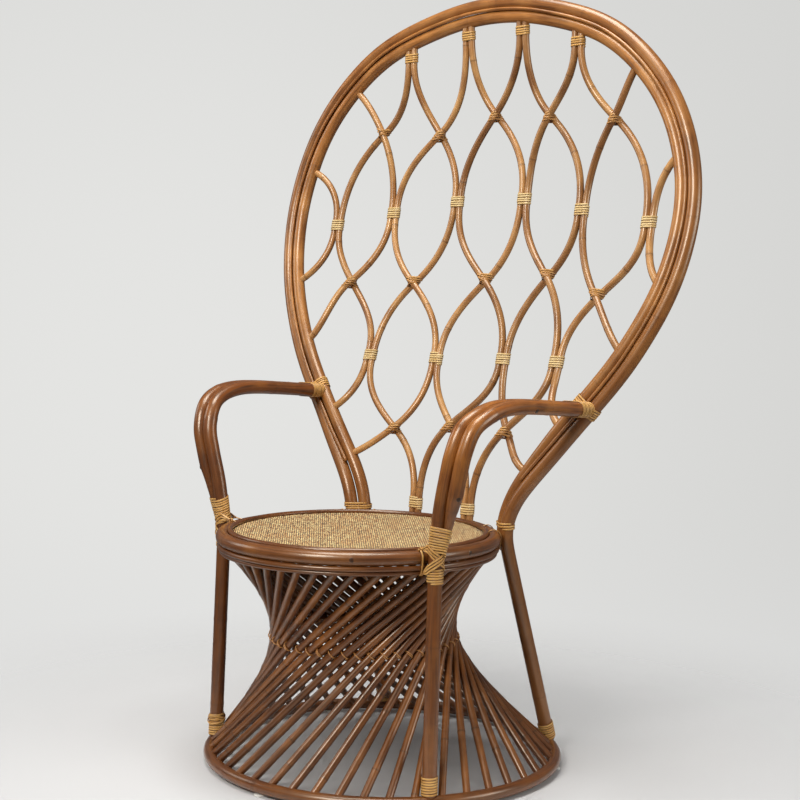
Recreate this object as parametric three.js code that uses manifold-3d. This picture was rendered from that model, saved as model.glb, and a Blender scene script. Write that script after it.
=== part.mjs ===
import * as THREE from 'three';
import { mergeVertices } from 'three/addons/utils/BufferGeometryUtils.js';
import Module from 'manifold-3d';

// A high-backed rattan chair: an hourglass base of twisted canes between two hoops, a round
// woven seat, a balloon-shaped back hoop filled with an ogee lattice, and two bent-pole arms.
// Millimetres, +Z up, the sitter faces -Y. Heights are above the floor, and the places below are
// set out from the centre of the seat: the last lines move the chair over its own middle.

const wasm = await Module();
wasm.setup();

// Gap kept between pieces that touch
const CLEARANCE = 0.3;

// Glides and floor hoop
const GLIDE_DIAMETER = 22;
const GLIDE_HEIGHT = 4;
const GLIDE_COUNT = 3;
const BASE_POLE_DIAMETER = 23;
const BASE_HOOP_RADIUS = 336;
const BASE_HOOP_SETBACK = 78;

// Seat hoop, its rim, the woven panel and the two thin hoops under it
const SEAT_HEIGHT = 443.5;
const SEAT_OUTER_RADIUS = 270;
const SEAT_POLE_DIAMETER = 26;
const RIM_POLE_DIAMETER = 10;
const PANEL_THICKNESS = 3.2;
const PANEL_CROWN = 4.5;
const UNDER_HOOP_UPPER_DIAMETER = 10;
const UNDER_HOOP_LOWER_DIAMETER = 8;

// Which way each thin hoop lies from the hoop that it touches, from level outwards, upwards positive
const RIM_LEAN = THREE.MathUtils.degToRad(141);
const UNDER_UPPER_LEAN = THREE.MathUtils.degToRad(-71);
const UNDER_LOWER_LEAN = THREE.MathUtils.degToRad(-109);

// Where the panel's slope starts and ends, in rim radii inside the rim's middle line
const PANEL_SLOPE_SHARES = [2.4, 0.4];

// Hourglass cage of canes
const CAGE_CANE_DIAMETER = 13.4;
const WAIST_RADIUS = 174;
const WAIST_HEIGHT = 249;
const WAIST_SETBACK = 20;
const WAIST_HOOP_DIAMETER = 11;
const WAIST_HOOP_BITE = 2.5;
const WAIST_JOINT_GAP = 1.5;
const LOWER_TWIST = THREE.MathUtils.degToRad(50);
const UPPER_TWIST = THREE.MathUtils.degToRad(53);
const FRONT_CANES = 14;
const SIDE_CANES = 10;
const REAR_CANES = 10;

// Room between a leg and the next cane foot on either side, arc by arc, over the room they fill
const LEG_ROOM_SHARES = [[0.95, 1.32], [1, 1.32], [1, 1.32], [0.9, 1.9]];

// Legs, as angles round the hoops from straight ahead
const LEG_POLE_DIAMETER = 26.5;
const FRONT_LEG_SEAT_ANGLE = THREE.MathUtils.degToRad(70);
const FRONT_LEG_FLOOR_ANGLE = THREE.MathUtils.degToRad(55.2);
const FRONT_LEG_FLOOR_INSET = 5;
const REAR_LEG_FLOOR_ANGLE = THREE.MathUtils.degToRad(140.5);
const LEG_SADDLE_DEPTH = 5;

// Back hoop: two poles side by side with a thin one in the groove between them
const HOOP_OUTER_DIAMETER = 28;
const HOOP_INNER_DIAMETER = 26;
const HOOP_STRIP_DIAMETER = 7;
const BACK_HALF_WIDTH = 494;
const BACK_HEIGHT = 1036;
const BACK_RAKE = 190;
const HOOP_TIE_DEPTH = 213;
const HOOP_TIE_HEIGHT = 30;
const HOOP_TIE_ANGLE = THREE.MathUtils.degToRad(138.4);
const HOOP_TAIL_DROP = 16;
const REAR_LEG_BEND_DROP = 22;

// Half of the back hoop from its crown down: width, height and rake
const HOOP_OUTLINE_SHARES = [
  [0, 1, 0.97],
  [0.265, 0.985, 0.96],
  [0.605, 0.925, 0.91],
  [0.87, 0.8, 0.824],
  [0.99, 0.645, 0.71],
  [0.97, 0.49, 0.537],
  [0.835, 0.34, 0.337],
  [0.59, 0.183, 0.126],
  [0.42, 0.072, 0.02],
];

// Stretch of the hoop that the thin pole follows
const HOOP_STRIP_SHARES = [0.03, 0.97];

// Arms: two poles side by side, the outer one scarfed thin against the leg
const ARM_POLE_DIAMETER = 27;
const ARM_TIP_DIAMETER = 6;
const ARM_SCARF_LENGTH = 105;
const ARM_TIP_RISE = 14;
const ARM_HEIGHT = 263.5;
const ARM_FRONT_DEPTH = 103;
const ARM_HOOP_HEIGHT = 249.5;

// Rise, reach forward and spread of the arm's inner pole, from the seat up to the level part
const ARM_BEND_SHARES = [
  [0.33, 0.97, 0.21],
  [0.56, 1, 0.46],
  [0.717, 0.99, 0.63],
  [0.872, 0.835, 0.755],
  [0.946, 0.58, 0.877],
  [1, 0.05, 0.93],
];

// Ogee lattice
const LATTICE_CANE_DIAMETER = 14.2;
const DISH_DEPTH = 62;
const BEND_STEPS = 3;

// Depth of the lattice behind the hoop, from the seat up to the crown
const DISH_SHARES = [
  [0, 0.72],
  [0.17, 0.84],
  [0.31, 1],
  [0.62, 0.97],
  [0.78, 0.8],
  [0.93, 0.18],
  [1, 0],
];

// Lattice nodes: width and height on the back, row by row from the crown down
const TOP_SHARES = [[-0.425, 0.922], [-0.128, 0.957], [0.149, 0.956], [0.43, 0.92]];
const CROSS_HIGH_SHARES = [[-0.579, 0.775], [-0.287, 0.761], [-0.004, 0.794], [0.277, 0.785], [0.613, 0.77]];
const PAIR_HIGH_SHARES = [
  [-0.778, 0.584], [-0.499, 0.607], [-0.177, 0.629], [0.169, 0.631], [0.474, 0.604], [0.824, 0.578],
];
const CROSS_MIDDLE_SHARES = [[-0.658, 0.462], [-0.345, 0.466], [0.023, 0.473], [0.344, 0.482], [0.617, 0.446]];
const PAIR_LOW_SHARES = [[-0.487, 0.315], [-0.16, 0.313], [0.186, 0.32], [0.474, 0.32]];
const CROSS_LOW_SHARES = [[-0.286, 0.172], [-0.015, 0.183], [0.285, 0.182]];
const BOTTOM_SHARES = [[-0.13, 0.032], [0.141, 0.032]];

// Heights at which lattice canes end on the hoop, from the crown down
const LEFT_END_SHARES = [0.865, 0.7, 0.463, 0.34, 0.205, 0.118];
const RIGHT_END_SHARES = [0.866, 0.698, 0.463, 0.343, 0.205, 0.118];

// Degrees by which a cane leans from straight down at those ends, towards the right
const LEFT_END_LEANS = [52, 70, -62, -48, -59, -68];
const RIGHT_END_LEANS = [-32, -46, 44, 46, 52, 65];

// The same at the crossings, for the cane that runs down to the right and for the one to the left
const CROSS_HIGH_LEANS = [[28, -50], [36, -50], [45, -40], [50, -34], [51, -34]];
const CROSS_MIDDLE_LEANS = [[40, -49], [48, -48], [47, -46], [43, -43], [40, -48]];
const CROSS_LOW_LEANS = [[50, -50], [42, -47], [40, -46]];

// Cane-strip windings
const STRIP_WIDTH = 4;
const STRIP_THICKNESS = 1.2;
const STRIP_PITCH = 4.6;
const LATTICE_TURNS = 4;
const TOP_TURNS = 3;
const FOOT_TURNS = 5;
const SEAT_TIE_TURNS = 2;
const ARM_HOOP_TURNS = 5;
const ARM_FOOT_TURNS = 10;
const LEG_TIE_TURNS = 5;
const FOOT_TIE_RISE = 8;
const SEAT_TIE_RISE = 11;
const ARM_WINDING_RISE = 8;
const LEG_TIE_DROP = 16;
const ARM_HOOP_WINDING_GAP = 10;

// Mesh resolution
const HOOP_SEGMENTS = 44;
const CANE_SIDES = 5;
const POLE_SIDES = 8;
const THIN_HOOP_SIDES = 6;
const WAIST_SIDES = 4;
const WAIST_SEGMENTS = 33;
const GLIDE_SIDES = 12;
const BACK_SEGMENTS = 38;
const STRIP_SEGMENTS = 34;
const ARM_SEGMENTS = 12;
const HOOP_SAMPLES = 400;
const TURN_CORNERS = 8;

// Vertices this much of the clearance apart are one vertex
const MERGE_SHARE = 0.001;

const SIDEWAYS = new THREE.Vector3(1, 0, 0);

// Materials

function finish(color, roughness, metalness = 0) {
  return new THREE.MeshStandardMaterial({ color, roughness, metalness });
}

const darkPole = finish('#7a4c2a', 0.42);
const goldenPole = finish('#9c6636', 0.38);
const cane = finish('#a8743f', 0.4);
const seatWeave = finish('#c9a46a', 0.7);
const goldenStrip = finish('#d9a95b', 0.55);
const paleStrip = finish('#e3c98c', 0.55);
const glidePlastic = finish('#e8e6e0', 0.5);

// Solids

function toSolid(geometry) {
  const bare = geometry.clone();
  bare.deleteAttribute('normal');
  bare.deleteAttribute('uv');
  const merged = mergeVertices(bare, CLEARANCE * MERGE_SHARE);
  return new wasm.Manifold(new wasm.Mesh({
    numProp: 3,
    vertProperties: Float32Array.from(merged.attributes.position.array),
    triVerts: Uint32Array.from(merged.index.array),
  }));
}

function toGeometry(solid) {
  const mesh = solid.getMesh();
  const geometry = new THREE.BufferGeometry();
  geometry.setAttribute('position', new THREE.BufferAttribute(mesh.vertProperties, 3));
  geometry.setIndex(new THREE.BufferAttribute(mesh.triVerts, 1));
  geometry.computeVertexNormals();
  return geometry;
}

function cut(geometry, ...cutters) {
  return toGeometry(cutters.reduce((solid, cutter) => solid.subtract(toSolid(cutter)), toSolid(geometry)));
}

// Joins rings of equal size into one closed skin with flat ends
function loft(rings) {
  const sides = rings[0].length;
  const positions = rings.flat().flatMap((p) => [p.x, p.y, p.z]);
  const faces = [];
  for (let i = 0; i < rings.length - 1; i += 1) {
    for (let j = 0; j < sides; j += 1) {
      const a = i * sides + j;
      const b = i * sides + ((j + 1) % sides);
      faces.push(a, b, b + sides, a, b + sides, a + sides);
    }
  }
  const last = (rings.length - 1) * sides;
  for (let j = 1; j < sides - 1; j += 1) {
    faces.push(0, j + 1, j);
    faces.push(last, last + j, last + j + 1);
  }
  const geometry = new THREE.BufferGeometry();
  geometry.setAttribute('position', new THREE.Float32BufferAttribute(positions, 3));
  geometry.setIndex(faces);
  geometry.computeVertexNormals();
  return geometry;
}

function directionAt(points, i) {
  const before = points[Math.max(i - 1, 0)];
  const after = points[Math.min(i + 1, points.length - 1)];
  return after.clone().sub(before).normalize();
}

// The rings of a bent pole through points, with one radius or a radius for each point
function poleRings(points, radius, sides) {
  let side = squareTo(points[0].clone().setZ(0), directionAt(points, 0));
  return points.map((point, i) => {
    const along = directionAt(points, i);
    side = squareTo(side, along);
    const across = along.clone().cross(side);
    const r = Array.isArray(radius) ? radius[i] : radius;
    return Array.from({ length: sides }, (_, j) => {
      const turn = (j / sides) * 2 * Math.PI;
      return point.clone()
        .addScaledVector(side, r * Math.cos(turn))
        .addScaledVector(across, r * Math.sin(turn));
    });
  });
}

function pole(points, radius, sides = POLE_SIDES) {
  return loft(poleRings(points, radius, sides));
}

function hoopAt(radius, tube, setback, height, sides = POLE_SIDES, segments = HOOP_SEGMENTS) {
  return new THREE.TorusGeometry(radius, tube, sides, segments).translate(0, setback, height);
}

// A point on a level circle, the angle counted from straight ahead towards +X
function onCircle(radius, angle, setback, height) {
  return new THREE.Vector3(radius * Math.sin(angle), setback - radius * Math.cos(angle), height);
}

// The unit vector nearest to one direction that is square to another
function squareTo(side, along) {
  return side.clone().addScaledVector(along, -side.dot(along)).normalize();
}

function mirrored(points) {
  return points.map((p) => new THREE.Vector3(-p.x, p.y, p.z));
}

function onSide(points, side) {
  return side > 0 ? points : mirrored(points);
}

// Floor hoop and glides

const baseTube = BASE_POLE_DIAMETER / 2;
const baseHeight = GLIDE_HEIGHT + CLEARANCE + baseTube;

function baseHoop(growth = 0) {
  return hoopAt(BASE_HOOP_RADIUS, baseTube + growth, BASE_HOOP_SETBACK, baseHeight);
}

function glide(index) {
  const angle = (index / GLIDE_COUNT) * 2 * Math.PI;
  const place = onCircle(BASE_HOOP_RADIUS, angle, BASE_HOOP_SETBACK, GLIDE_HEIGHT / 2);
  return new THREE.CylinderGeometry(GLIDE_DIAMETER / 2, GLIDE_DIAMETER / 2, GLIDE_HEIGHT, GLIDE_SIDES)
    .rotateX(Math.PI / 2)
    .translate(place.x, place.y, place.z);
}

// Seat

// How far a section with flat sides reaches from its middle in one direction
function reachOf({ tube, sides }, angle) {
  const corner = (2 * Math.PI) / sides;
  return tube * Math.cos(angle - corner * Math.round(angle / corner));
}

// A thin hoop that lies against another one, in a direction seen in the section
function hoopBeside(hoop, angle, diameter) {
  const thin = { tube: diameter / 2, sides: THIN_HOOP_SIDES };
  const step = reachOf(hoop, angle) + CLEARANCE + reachOf(thin, angle + Math.PI);
  return {
    ...thin,
    radius: hoop.radius + step * Math.cos(angle),
    height: hoop.height + step * Math.sin(angle),
  };
}

const seatTube = SEAT_POLE_DIAMETER / 2;
const seatRadius = SEAT_OUTER_RADIUS - seatTube;
const seatSection = { tube: seatTube, sides: POLE_SIDES, radius: seatRadius, height: SEAT_HEIGHT };
const rim = hoopBeside(seatSection, RIM_LEAN, RIM_POLE_DIAMETER);
const underUpper = hoopBeside(seatSection, UNDER_UPPER_LEAN, UNDER_HOOP_UPPER_DIAMETER);
const underLower = hoopBeside(underUpper, UNDER_LOWER_LEAN, UNDER_HOOP_LOWER_DIAMETER);

function thinHoop({ radius, tube, height, sides }) {
  return hoopAt(radius, tube, 0, height, sides);
}

function seatHoop(growth = 0) {
  return hoopAt(seatRadius, seatTube + growth, 0, SEAT_HEIGHT);
}

// The woven panel: flat on top, sloping at its edge to pass under the rim and meet the hoop
function seatPanel() {
  const edgeTop = rim.height - rim.tube - CLEARANCE;
  const bottom = edgeTop - PANEL_THICKNESS;
  const hoopSlope = Math.tan(Math.PI / POLE_SIDES);
  const edge = seatRadius - CLEARANCE - seatTube + (bottom - SEAT_HEIGHT) * hoopSlope;
  const [slopeTop, slopeEnd] = PANEL_SLOPE_SHARES.map((share) => rim.radius - share * rim.tube);
  const profile = [
    [0, bottom],
    [edge, bottom],
    [edge, edgeTop],
    [slopeEnd, edgeTop],
    [slopeTop, edgeTop + PANEL_CROWN],
    [0, edgeTop + PANEL_CROWN],
  ].map(([radius, height]) => new THREE.Vector2(radius, height));
  return new THREE.LatheGeometry(profile, HOOP_SEGMENTS).rotateX(Math.PI / 2);
}

// Hourglass cage: each cane leans from the floor hoop in to the waist and out to the seat

const caneTube = CAGE_CANE_DIAMETER / 2;
const legTube = LEG_POLE_DIAMETER / 2;

// The four sides of the cage, as arcs of the floor hoop from leg to leg with their numbers of canes
const full = 2 * Math.PI;
const cageSides = [
  ['front', -FRONT_LEG_FLOOR_ANGLE, FRONT_LEG_FLOOR_ANGLE, FRONT_CANES],
  ['right', FRONT_LEG_FLOOR_ANGLE, REAR_LEG_FLOOR_ANGLE, SIDE_CANES],
  ['rear', REAR_LEG_FLOOR_ANGLE, full - REAR_LEG_FLOOR_ANGLE, REAR_CANES],
  ['left', full - REAR_LEG_FLOOR_ANGLE, full - FRONT_LEG_FLOOR_ANGLE, SIDE_CANES],
];

// Angles of the cane feet, spread evenly over one arc
function footAngles(from, to, count, [first, last]) {
  const room = (legTube + STRIP_THICKNESS + caneTube + CLEARANCE) / BASE_HOOP_RADIUS;
  return Array.from(
    { length: count },
    (_, i) => THREE.MathUtils.lerp(from + first * room, to - last * room, i / (count - 1)),
  );
}

// The foot is cut flat against the floor hoop. The top passes inside the lower thin hoop,
// touching it, and ends below the seat hoop.
function cageCane(footAngle) {
  const rimAngle = footAngle + LOWER_TWIST + UPPER_TWIST;
  const footCentre = onCircle(BASE_HOOP_RADIUS, footAngle, BASE_HOOP_SETBACK, baseHeight);
  const waist = onCircle(WAIST_RADIUS, footAngle + LOWER_TWIST, WAIST_SETBACK, WAIST_HEIGHT);
  const topCentre = onCircle(underLower.radius, rimAngle, 0, underLower.height);

  const outward = onCircle(1, rimAngle, 0, 0);
  const lean = topCentre.clone().sub(waist);
  const slope = lean.dot(outward) / lean.z;
  const reach = (underLower.tube + caneTube + CLEARANCE) * Math.hypot(1, slope);
  const beside = topCentre.clone().addScaledVector(outward, -reach);
  const top = beside.clone().addScaledVector(beside.clone().sub(waist).normalize(), underLower.tube);

  const rise = waist.clone().sub(footCentre).normalize();
  const hoopWay = new THREE.Vector3(Math.cos(footAngle), Math.sin(footAngle), 0);
  const standing = squareTo(rise, hoopWay);
  const bulge = BASE_HOOP_RADIUS * (1 - Math.cos(Math.PI / HOOP_SEGMENTS));
  const standOff = baseTube + CLEARANCE + bulge;
  const rings = poleRings([footCentre, waist, top], caneTube, CANE_SIDES);
  rings[0].forEach((p) => {
    const short = standOff - p.clone().sub(footCentre).dot(standing);
    p.addScaledVector(rise, short / rise.dot(standing));
  });
  return loft(rings);
}

// The canes of one side with their length of the hoop that they are tied to at the waist
function cageSide([, from, to, count], index) {
  const waistTube = WAIST_HOOP_DIAMETER / 2;
  const hoopRadius = WAIST_RADIUS - caneTube - waistTube + WAIST_HOOP_BITE;
  const joint = WAIST_JOINT_GAP / 2 / hoopRadius;
  const segments = Math.round((WAIST_SEGMENTS * (to - from)) / full);
  const arc = Array.from({ length: segments + 1 }, (_, i) => {
    const angle = THREE.MathUtils.lerp(from + joint, to - joint, i / segments) + LOWER_TWIST;
    return onCircle(hoopRadius, angle, WAIST_SETBACK, WAIST_HEIGHT);
  });
  return toGeometry(footAngles(from, to, count, LEG_ROOM_SHARES[index]).reduce(
    (solid, angle) => solid.add(toSolid(cageCane(angle))),
    toSolid(pole(arc, waistTube, WAIST_SIDES)),
  ));
}

// Back hoop

const outerTube = HOOP_OUTER_DIAMETER / 2;
const innerTube = HOOP_INNER_DIAMETER / 2;
const stripTube = HOOP_STRIP_DIAMETER / 2;
const tieRadius = SEAT_OUTER_RADIUS + CLEARANCE + outerTube;
const tieHeight = SEAT_HEIGHT + HOOP_TIE_HEIGHT;
const pairHalf = (outerTube + innerTube + CLEARANCE) / 2;
const stripReach = outerTube + CLEARANCE + stripTube;
const stripForward = Math.sqrt(stripReach ** 2 - pairHalf ** 2) + CLEARANCE;

function backPoint([width, height, rake]) {
  return new THREE.Vector3(
    width * BACK_HALF_WIDTH,
    HOOP_TIE_DEPTH + rake * BACK_RAKE,
    SEAT_HEIGHT + height * BACK_HEIGHT,
  );
}

// The middle line between the hoop's two poles, from the right seat tie round to the left one
function hoopMiddle() {
  const tie = onCircle(tieRadius, HOOP_TIE_ANGLE, 0, tieHeight);
  const right = [tie, ...HOOP_OUTLINE_SHARES.toReversed().map(backPoint)];
  const left = mirrored(right.slice(0, -1)).toReversed();
  return new THREE.CatmullRomCurve3([...right, ...left], false, 'centripetal');
}

const hoopCurve = hoopMiddle();

// The front face of the back: inward at the seat, straight ahead from a fifth of the height up
function faceAt(point, along) {
  const turned = THREE.MathUtils.smoothstep((point.z - tieHeight) / BACK_HEIGHT, 0, 1 / 5);
  const inward = new THREE.Vector3(-point.x, -point.y, 0).normalize();
  return squareTo(inward.lerp(new THREE.Vector3(0, -1, 0), turned), along);
}

// Points of a pole that follows the back hoop, moved sideways and forward from its middle
function alongHoop(outward, forward, segments = BACK_SEGMENTS, [from, to] = [0, 1]) {
  return Array.from({ length: segments + 1 }, (_, i) => {
    const t = THREE.MathUtils.lerp(from, to, i / segments);
    const point = hoopCurve.getPointAt(t);
    const along = hoopCurve.getTangentAt(t);
    const face = faceAt(point, along);
    return point.addScaledVector(along.cross(face), outward).addScaledVector(face, forward);
  });
}

const outerLine = alongHoop(pairHalf, 0);
const innerLine = alongHoop(-pairHalf, 0);

// Right rear leg, from the floor hoop up to the seat tie
function rearLegPoints() {
  const beside = outerLine[0].clone().setZ(SEAT_HEIGHT);
  const floorHeight = baseHeight + baseTube - LEG_SADDLE_DEPTH;
  const floor = onCircle(BASE_HOOP_RADIUS, REAR_LEG_FLOOR_ANGLE, BASE_HOOP_SETBACK, floorHeight);
  const bend = beside.clone().lerp(floor, REAR_LEG_BEND_DROP / SEAT_HEIGHT);
  return [floor, bend, beside];
}

// The outer pole runs from one rear foot up round the back and down to the other
function hoopOuter(growth = 0) {
  const leg = rearLegPoints();
  return pole([...leg, ...outerLine, ...mirrored(leg).toReversed()], outerTube + growth);
}

// The inner pole's lower end keeps beside the rear leg and stops below the seat hoop
function hoopInner(growth = 0) {
  const [floor, bend, outerBeside] = rearLegPoints();
  const step = 2 * pairHalf + CLEARANCE;
  const down = floor.clone().sub(bend).normalize();
  const start = bend.clone().addScaledVector(squareTo(innerLine[0].clone().sub(outerLine[0]), down), step);
  const level = innerLine[0].clone().sub(outerLine[0]).setZ(0).normalize();
  const besideSeat = outerBeside.clone().addScaledVector(level, step);
  const tail = [start.clone().addScaledVector(down, HOOP_TAIL_DROP), start, besideSeat];
  return pole([...tail, ...innerLine, ...mirrored(tail).toReversed()], innerTube + growth);
}

function hoopStrip(growth = 0) {
  const line = alongHoop(0, stripForward, STRIP_SEGMENTS, HOOP_STRIP_SHARES);
  return pole(line, stripTube + growth, CANE_SIDES);
}

const rightHoopSamples = hoopCurve.getSpacedPoints(HOOP_SAMPLES).slice(0, HOOP_SAMPLES / 2 + 1);
const rightInnerSamples = alongHoop(-pairHalf, 0, HOOP_SAMPLES).slice(0, HOOP_SAMPLES / 2 + 1);

// The point at a height on a rising line of points
function atHeight(line, z) {
  const i = Math.max(line.findIndex((p) => p.z >= z), 1);
  const [low, high] = [line[i - 1], line[i]];
  return low.clone().lerp(high, THREE.MathUtils.clamp((z - low.z) / (high.z - low.z), 0, 1));
}

// Arms: the inner pole runs on down as the front leg, the outer one is scarfed against it

const armTube = ARM_POLE_DIAMETER / 2;
const armGap = ARM_POLE_DIAMETER + CLEARANCE;

function frontLegAt(height) {
  return onCircle(SEAT_OUTER_RADIUS + CLEARANCE + legTube, FRONT_LEG_SEAT_ANGLE, 0, height);
}

// Middle line of the right arm's inner pole, from the seat's side to the back hoop
function armMiddle() {
  const start = frontLegAt(SEAT_HEIGHT);
  const hoop = atHeight(rightHoopSamples, SEAT_HEIGHT + ARM_HOOP_HEIGHT);
  const end = hoop.add(new THREE.Vector3(-armGap / 2, -CLEARANCE - innerTube / 2, 0));
  const bend = ARM_BEND_SHARES.map(([rise, forward, spread]) => new THREE.Vector3(
    THREE.MathUtils.lerp(start.x, end.x, spread),
    -forward * ARM_FRONT_DEPTH,
    SEAT_HEIGHT + rise * ARM_HEIGHT,
  ));
  return new THREE.CatmullRomCurve3([start, ...bend, end], false, 'centripetal');
}

const armCurve = armMiddle();
const armLength = armCurve.getLength();

// Radius of the outer arm pole at a distance along the arm
function outerArmTube(distance) {
  const thinness = THREE.MathUtils.clamp((distance - ARM_TIP_RISE) / ARM_SCARF_LENGTH, 0, 1);
  return THREE.MathUtils.lerp(ARM_TIP_DIAMETER / 2, armTube, thinness);
}

function outerArmStep(distance) {
  return armTube + outerArmTube(distance) + CLEARANCE;
}

function armAndLegPoints() {
  const floorHeight = baseHeight + baseTube - LEG_SADDLE_DEPTH;
  const floorRadius = BASE_HOOP_RADIUS - FRONT_LEG_FLOOR_INSET;
  const foot = onCircle(floorRadius, FRONT_LEG_FLOOR_ANGLE, BASE_HOOP_SETBACK, floorHeight);
  const besideHoop = frontLegAt(SEAT_HEIGHT - seatTube);
  return [foot, besideHoop, ...armCurve.getSpacedPoints(ARM_SEGMENTS)];
}

function armAndLeg(side) {
  const points = armAndLegPoints();
  const radii = points.map((_, i) => (i < 3 ? legTube : armTube));
  return cut(
    pole(onSide(points, side), radii),
    baseHoop(CLEARANCE),
    hoopOuter(CLEARANCE),
    hoopInner(CLEARANCE),
    hoopStrip(CLEARANCE),
  );
}

function armOuter(side) {
  const shares = [ARM_TIP_RISE / armLength];
  for (let i = 1; i <= ARM_SEGMENTS; i += 1) shares.push(i / ARM_SEGMENTS);
  const points = shares.map((t) => armCurve.getPointAt(t)
    .addScaledVector(SIDEWAYS, outerArmStep(t * armLength)));
  const radii = shares.map((t) => outerArmTube(t * armLength));
  return cut(
    pole(onSide(points, side), radii),
    hoopOuter(CLEARANCE),
    hoopInner(CLEARANCE),
    hoopStrip(CLEARANCE),
  );
}

// Lattice

const latticeTube = LATTICE_CANE_DIAMETER / 2;
const pairStep = latticeTube + CLEARANCE / 2;
const crossStep = latticeTube + CLEARANCE;

function windingLength(turns) {
  return turns * STRIP_PITCH + STRIP_WIDTH;
}

function dishAt(height) {
  const i = Math.max(DISH_SHARES.findIndex(([h]) => h >= height), 1);
  const [lowHeight, lowDepth] = DISH_SHARES[i - 1];
  const [highHeight, highDepth] = DISH_SHARES[i];
  const blend = THREE.MathUtils.smoothstep(height, lowHeight, highHeight);
  return DISH_DEPTH * THREE.MathUtils.lerp(lowDepth, highDepth, blend);
}

// A point on the dished surface that the lattice follows
function onBack(x, z) {
  const hoop = atHeight(rightHoopSamples, z);
  const reach = Math.min(Math.abs(x) / (hoop.x - 2 * pairHalf), 1);
  return new THREE.Vector3(x, hoop.y + dishAt((z - SEAT_HEIGHT) / BACK_HEIGHT) * (1 - reach ** 2), z);
}

// The way that the lattice surface faces at a point, towards the sitter
function faceOfBack(x, z) {
  const sideways = onBack(x + latticeTube, z).sub(onBack(x - latticeTube, z));
  const upwards = onBack(x, z + latticeTube).sub(onBack(x, z - latticeTube));
  return sideways.cross(upwards).normalize();
}

function nodePlace([width, height]) {
  return [width * BACK_HALF_WIDTH, SEAT_HEIGHT + height * BACK_HEIGHT];
}

// Where a cane runs side by side with its neighbour: a short straight stretch
function pairStop(share, side, length = windingLength(LATTICE_TURNS)) {
  const [x, z] = nodePlace(share);
  const along = onBack(x, z + length / 2).sub(onBack(x, z - length / 2)).normalize();
  const middle = onBack(x, z).addScaledVector(SIDEWAYS, side * pairStep);
  return {
    down: along.clone().negate(),
    enter: middle.clone().addScaledVector(along, length / 2),
    leave: middle.clone().addScaledVector(along, -length / 2),
  };
}

// The way down a cane on the back that leans so many degrees to the right
function leaning(x, z, lean) {
  const turn = THREE.MathUtils.degToRad(lean);
  const [sideways, down] = [latticeTube * Math.sin(turn), latticeTube * Math.cos(turn)];
  return onBack(x + sideways, z - down).sub(onBack(x - sideways, z + down)).normalize();
}

// Where a cane crosses another: in front of it or behind it
function crossStop([share, leans], layer, side) {
  const [x, z] = nodePlace(share);
  const place = onBack(x, z).addScaledVector(faceOfBack(x, z), layer * crossStep);
  const lean = leans[side > 0 ? 0 : 1];
  return { enter: place, leave: place, down: leaning(x, z, lean), bends: true };
}

// Where a cane dies into the back hoop's inner pole
function hoopStop(heightShare, lean, side) {
  const place = atHeight(rightInnerSamples, SEAT_HEIGHT + heightShare * BACK_HEIGHT);
  place.x *= side;
  return { enter: place, leave: place, down: leaning(place.x, place.z, lean), bends: true };
}

// The pair stops next to the crown and next to the seat run on into the hoop there
function headStop(share, side) {
  const stop = pairStop(share, side, windingLength(TOP_TURNS));
  const crown = rightInnerSamples.findLast((p) => p.x >= Math.abs(stop.enter.x));
  const rise = crown.z - stop.enter.z;
  return { ...stop, enter: stop.enter.clone().addScaledVector(stop.down, rise / stop.down.z) };
}

function seatStop(share, side) {
  const stop = pairStop(share, side);
  const drop = stop.leave.z - SEAT_HEIGHT - seatTube / 2;
  return { ...stop, leave: stop.leave.clone().addScaledVector(stop.down, -drop / stop.down.z) };
}

// The point that draws a bend out from one end of its chord: it reaches a third of the way along
function handleOf(way, chord) {
  return way.clone().multiplyScalar(chord.lengthSq() / 3 / way.dot(chord));
}

// Straight stretches at the bands, joined by smooth bends
function latticePoints(stops) {
  const points = [stops[0].enter];
  if (!stops[0].bends) points.push(stops[0].leave);
  stops.slice(1).forEach((stop, i) => {
    const start = stops[i].leave;
    const chord = stop.enter.clone().sub(start);
    const bend = new THREE.CubicBezierCurve3(
      start,
      start.clone().add(handleOf(stops[i].down, chord)),
      stop.enter.clone().sub(handleOf(stop.down, chord)),
      stop.enter,
    );
    points.push(...bend.getPoints(BEND_STEPS).slice(1));
    if (!stop.bends) points.push(stop.leave);
  });
  return points;
}

const [T, W, V, B] = [TOP_SHARES, PAIR_HIGH_SHARES, PAIR_LOW_SHARES, BOTTOM_SHARES];
const [X, Y, Z] = [
  [CROSS_HIGH_SHARES, CROSS_HIGH_LEANS],
  [CROSS_MIDDLE_SHARES, CROSS_MIDDLE_LEANS],
  [CROSS_LOW_SHARES, CROSS_LOW_LEANS],
].map(([shares, leans]) => shares.map((share, i) => [share, leans[i]]));
const FRONT = 1;
const BEHIND = -1;
const LEFT = -1;
const RIGHT = 1;

const leftEnd = (i) => hoopStop(LEFT_END_SHARES[i], LEFT_END_LEANS[i], LEFT);
const rightEnd = (i) => hoopStop(RIGHT_END_SHARES[i], RIGHT_END_LEANS[i], RIGHT);

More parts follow.
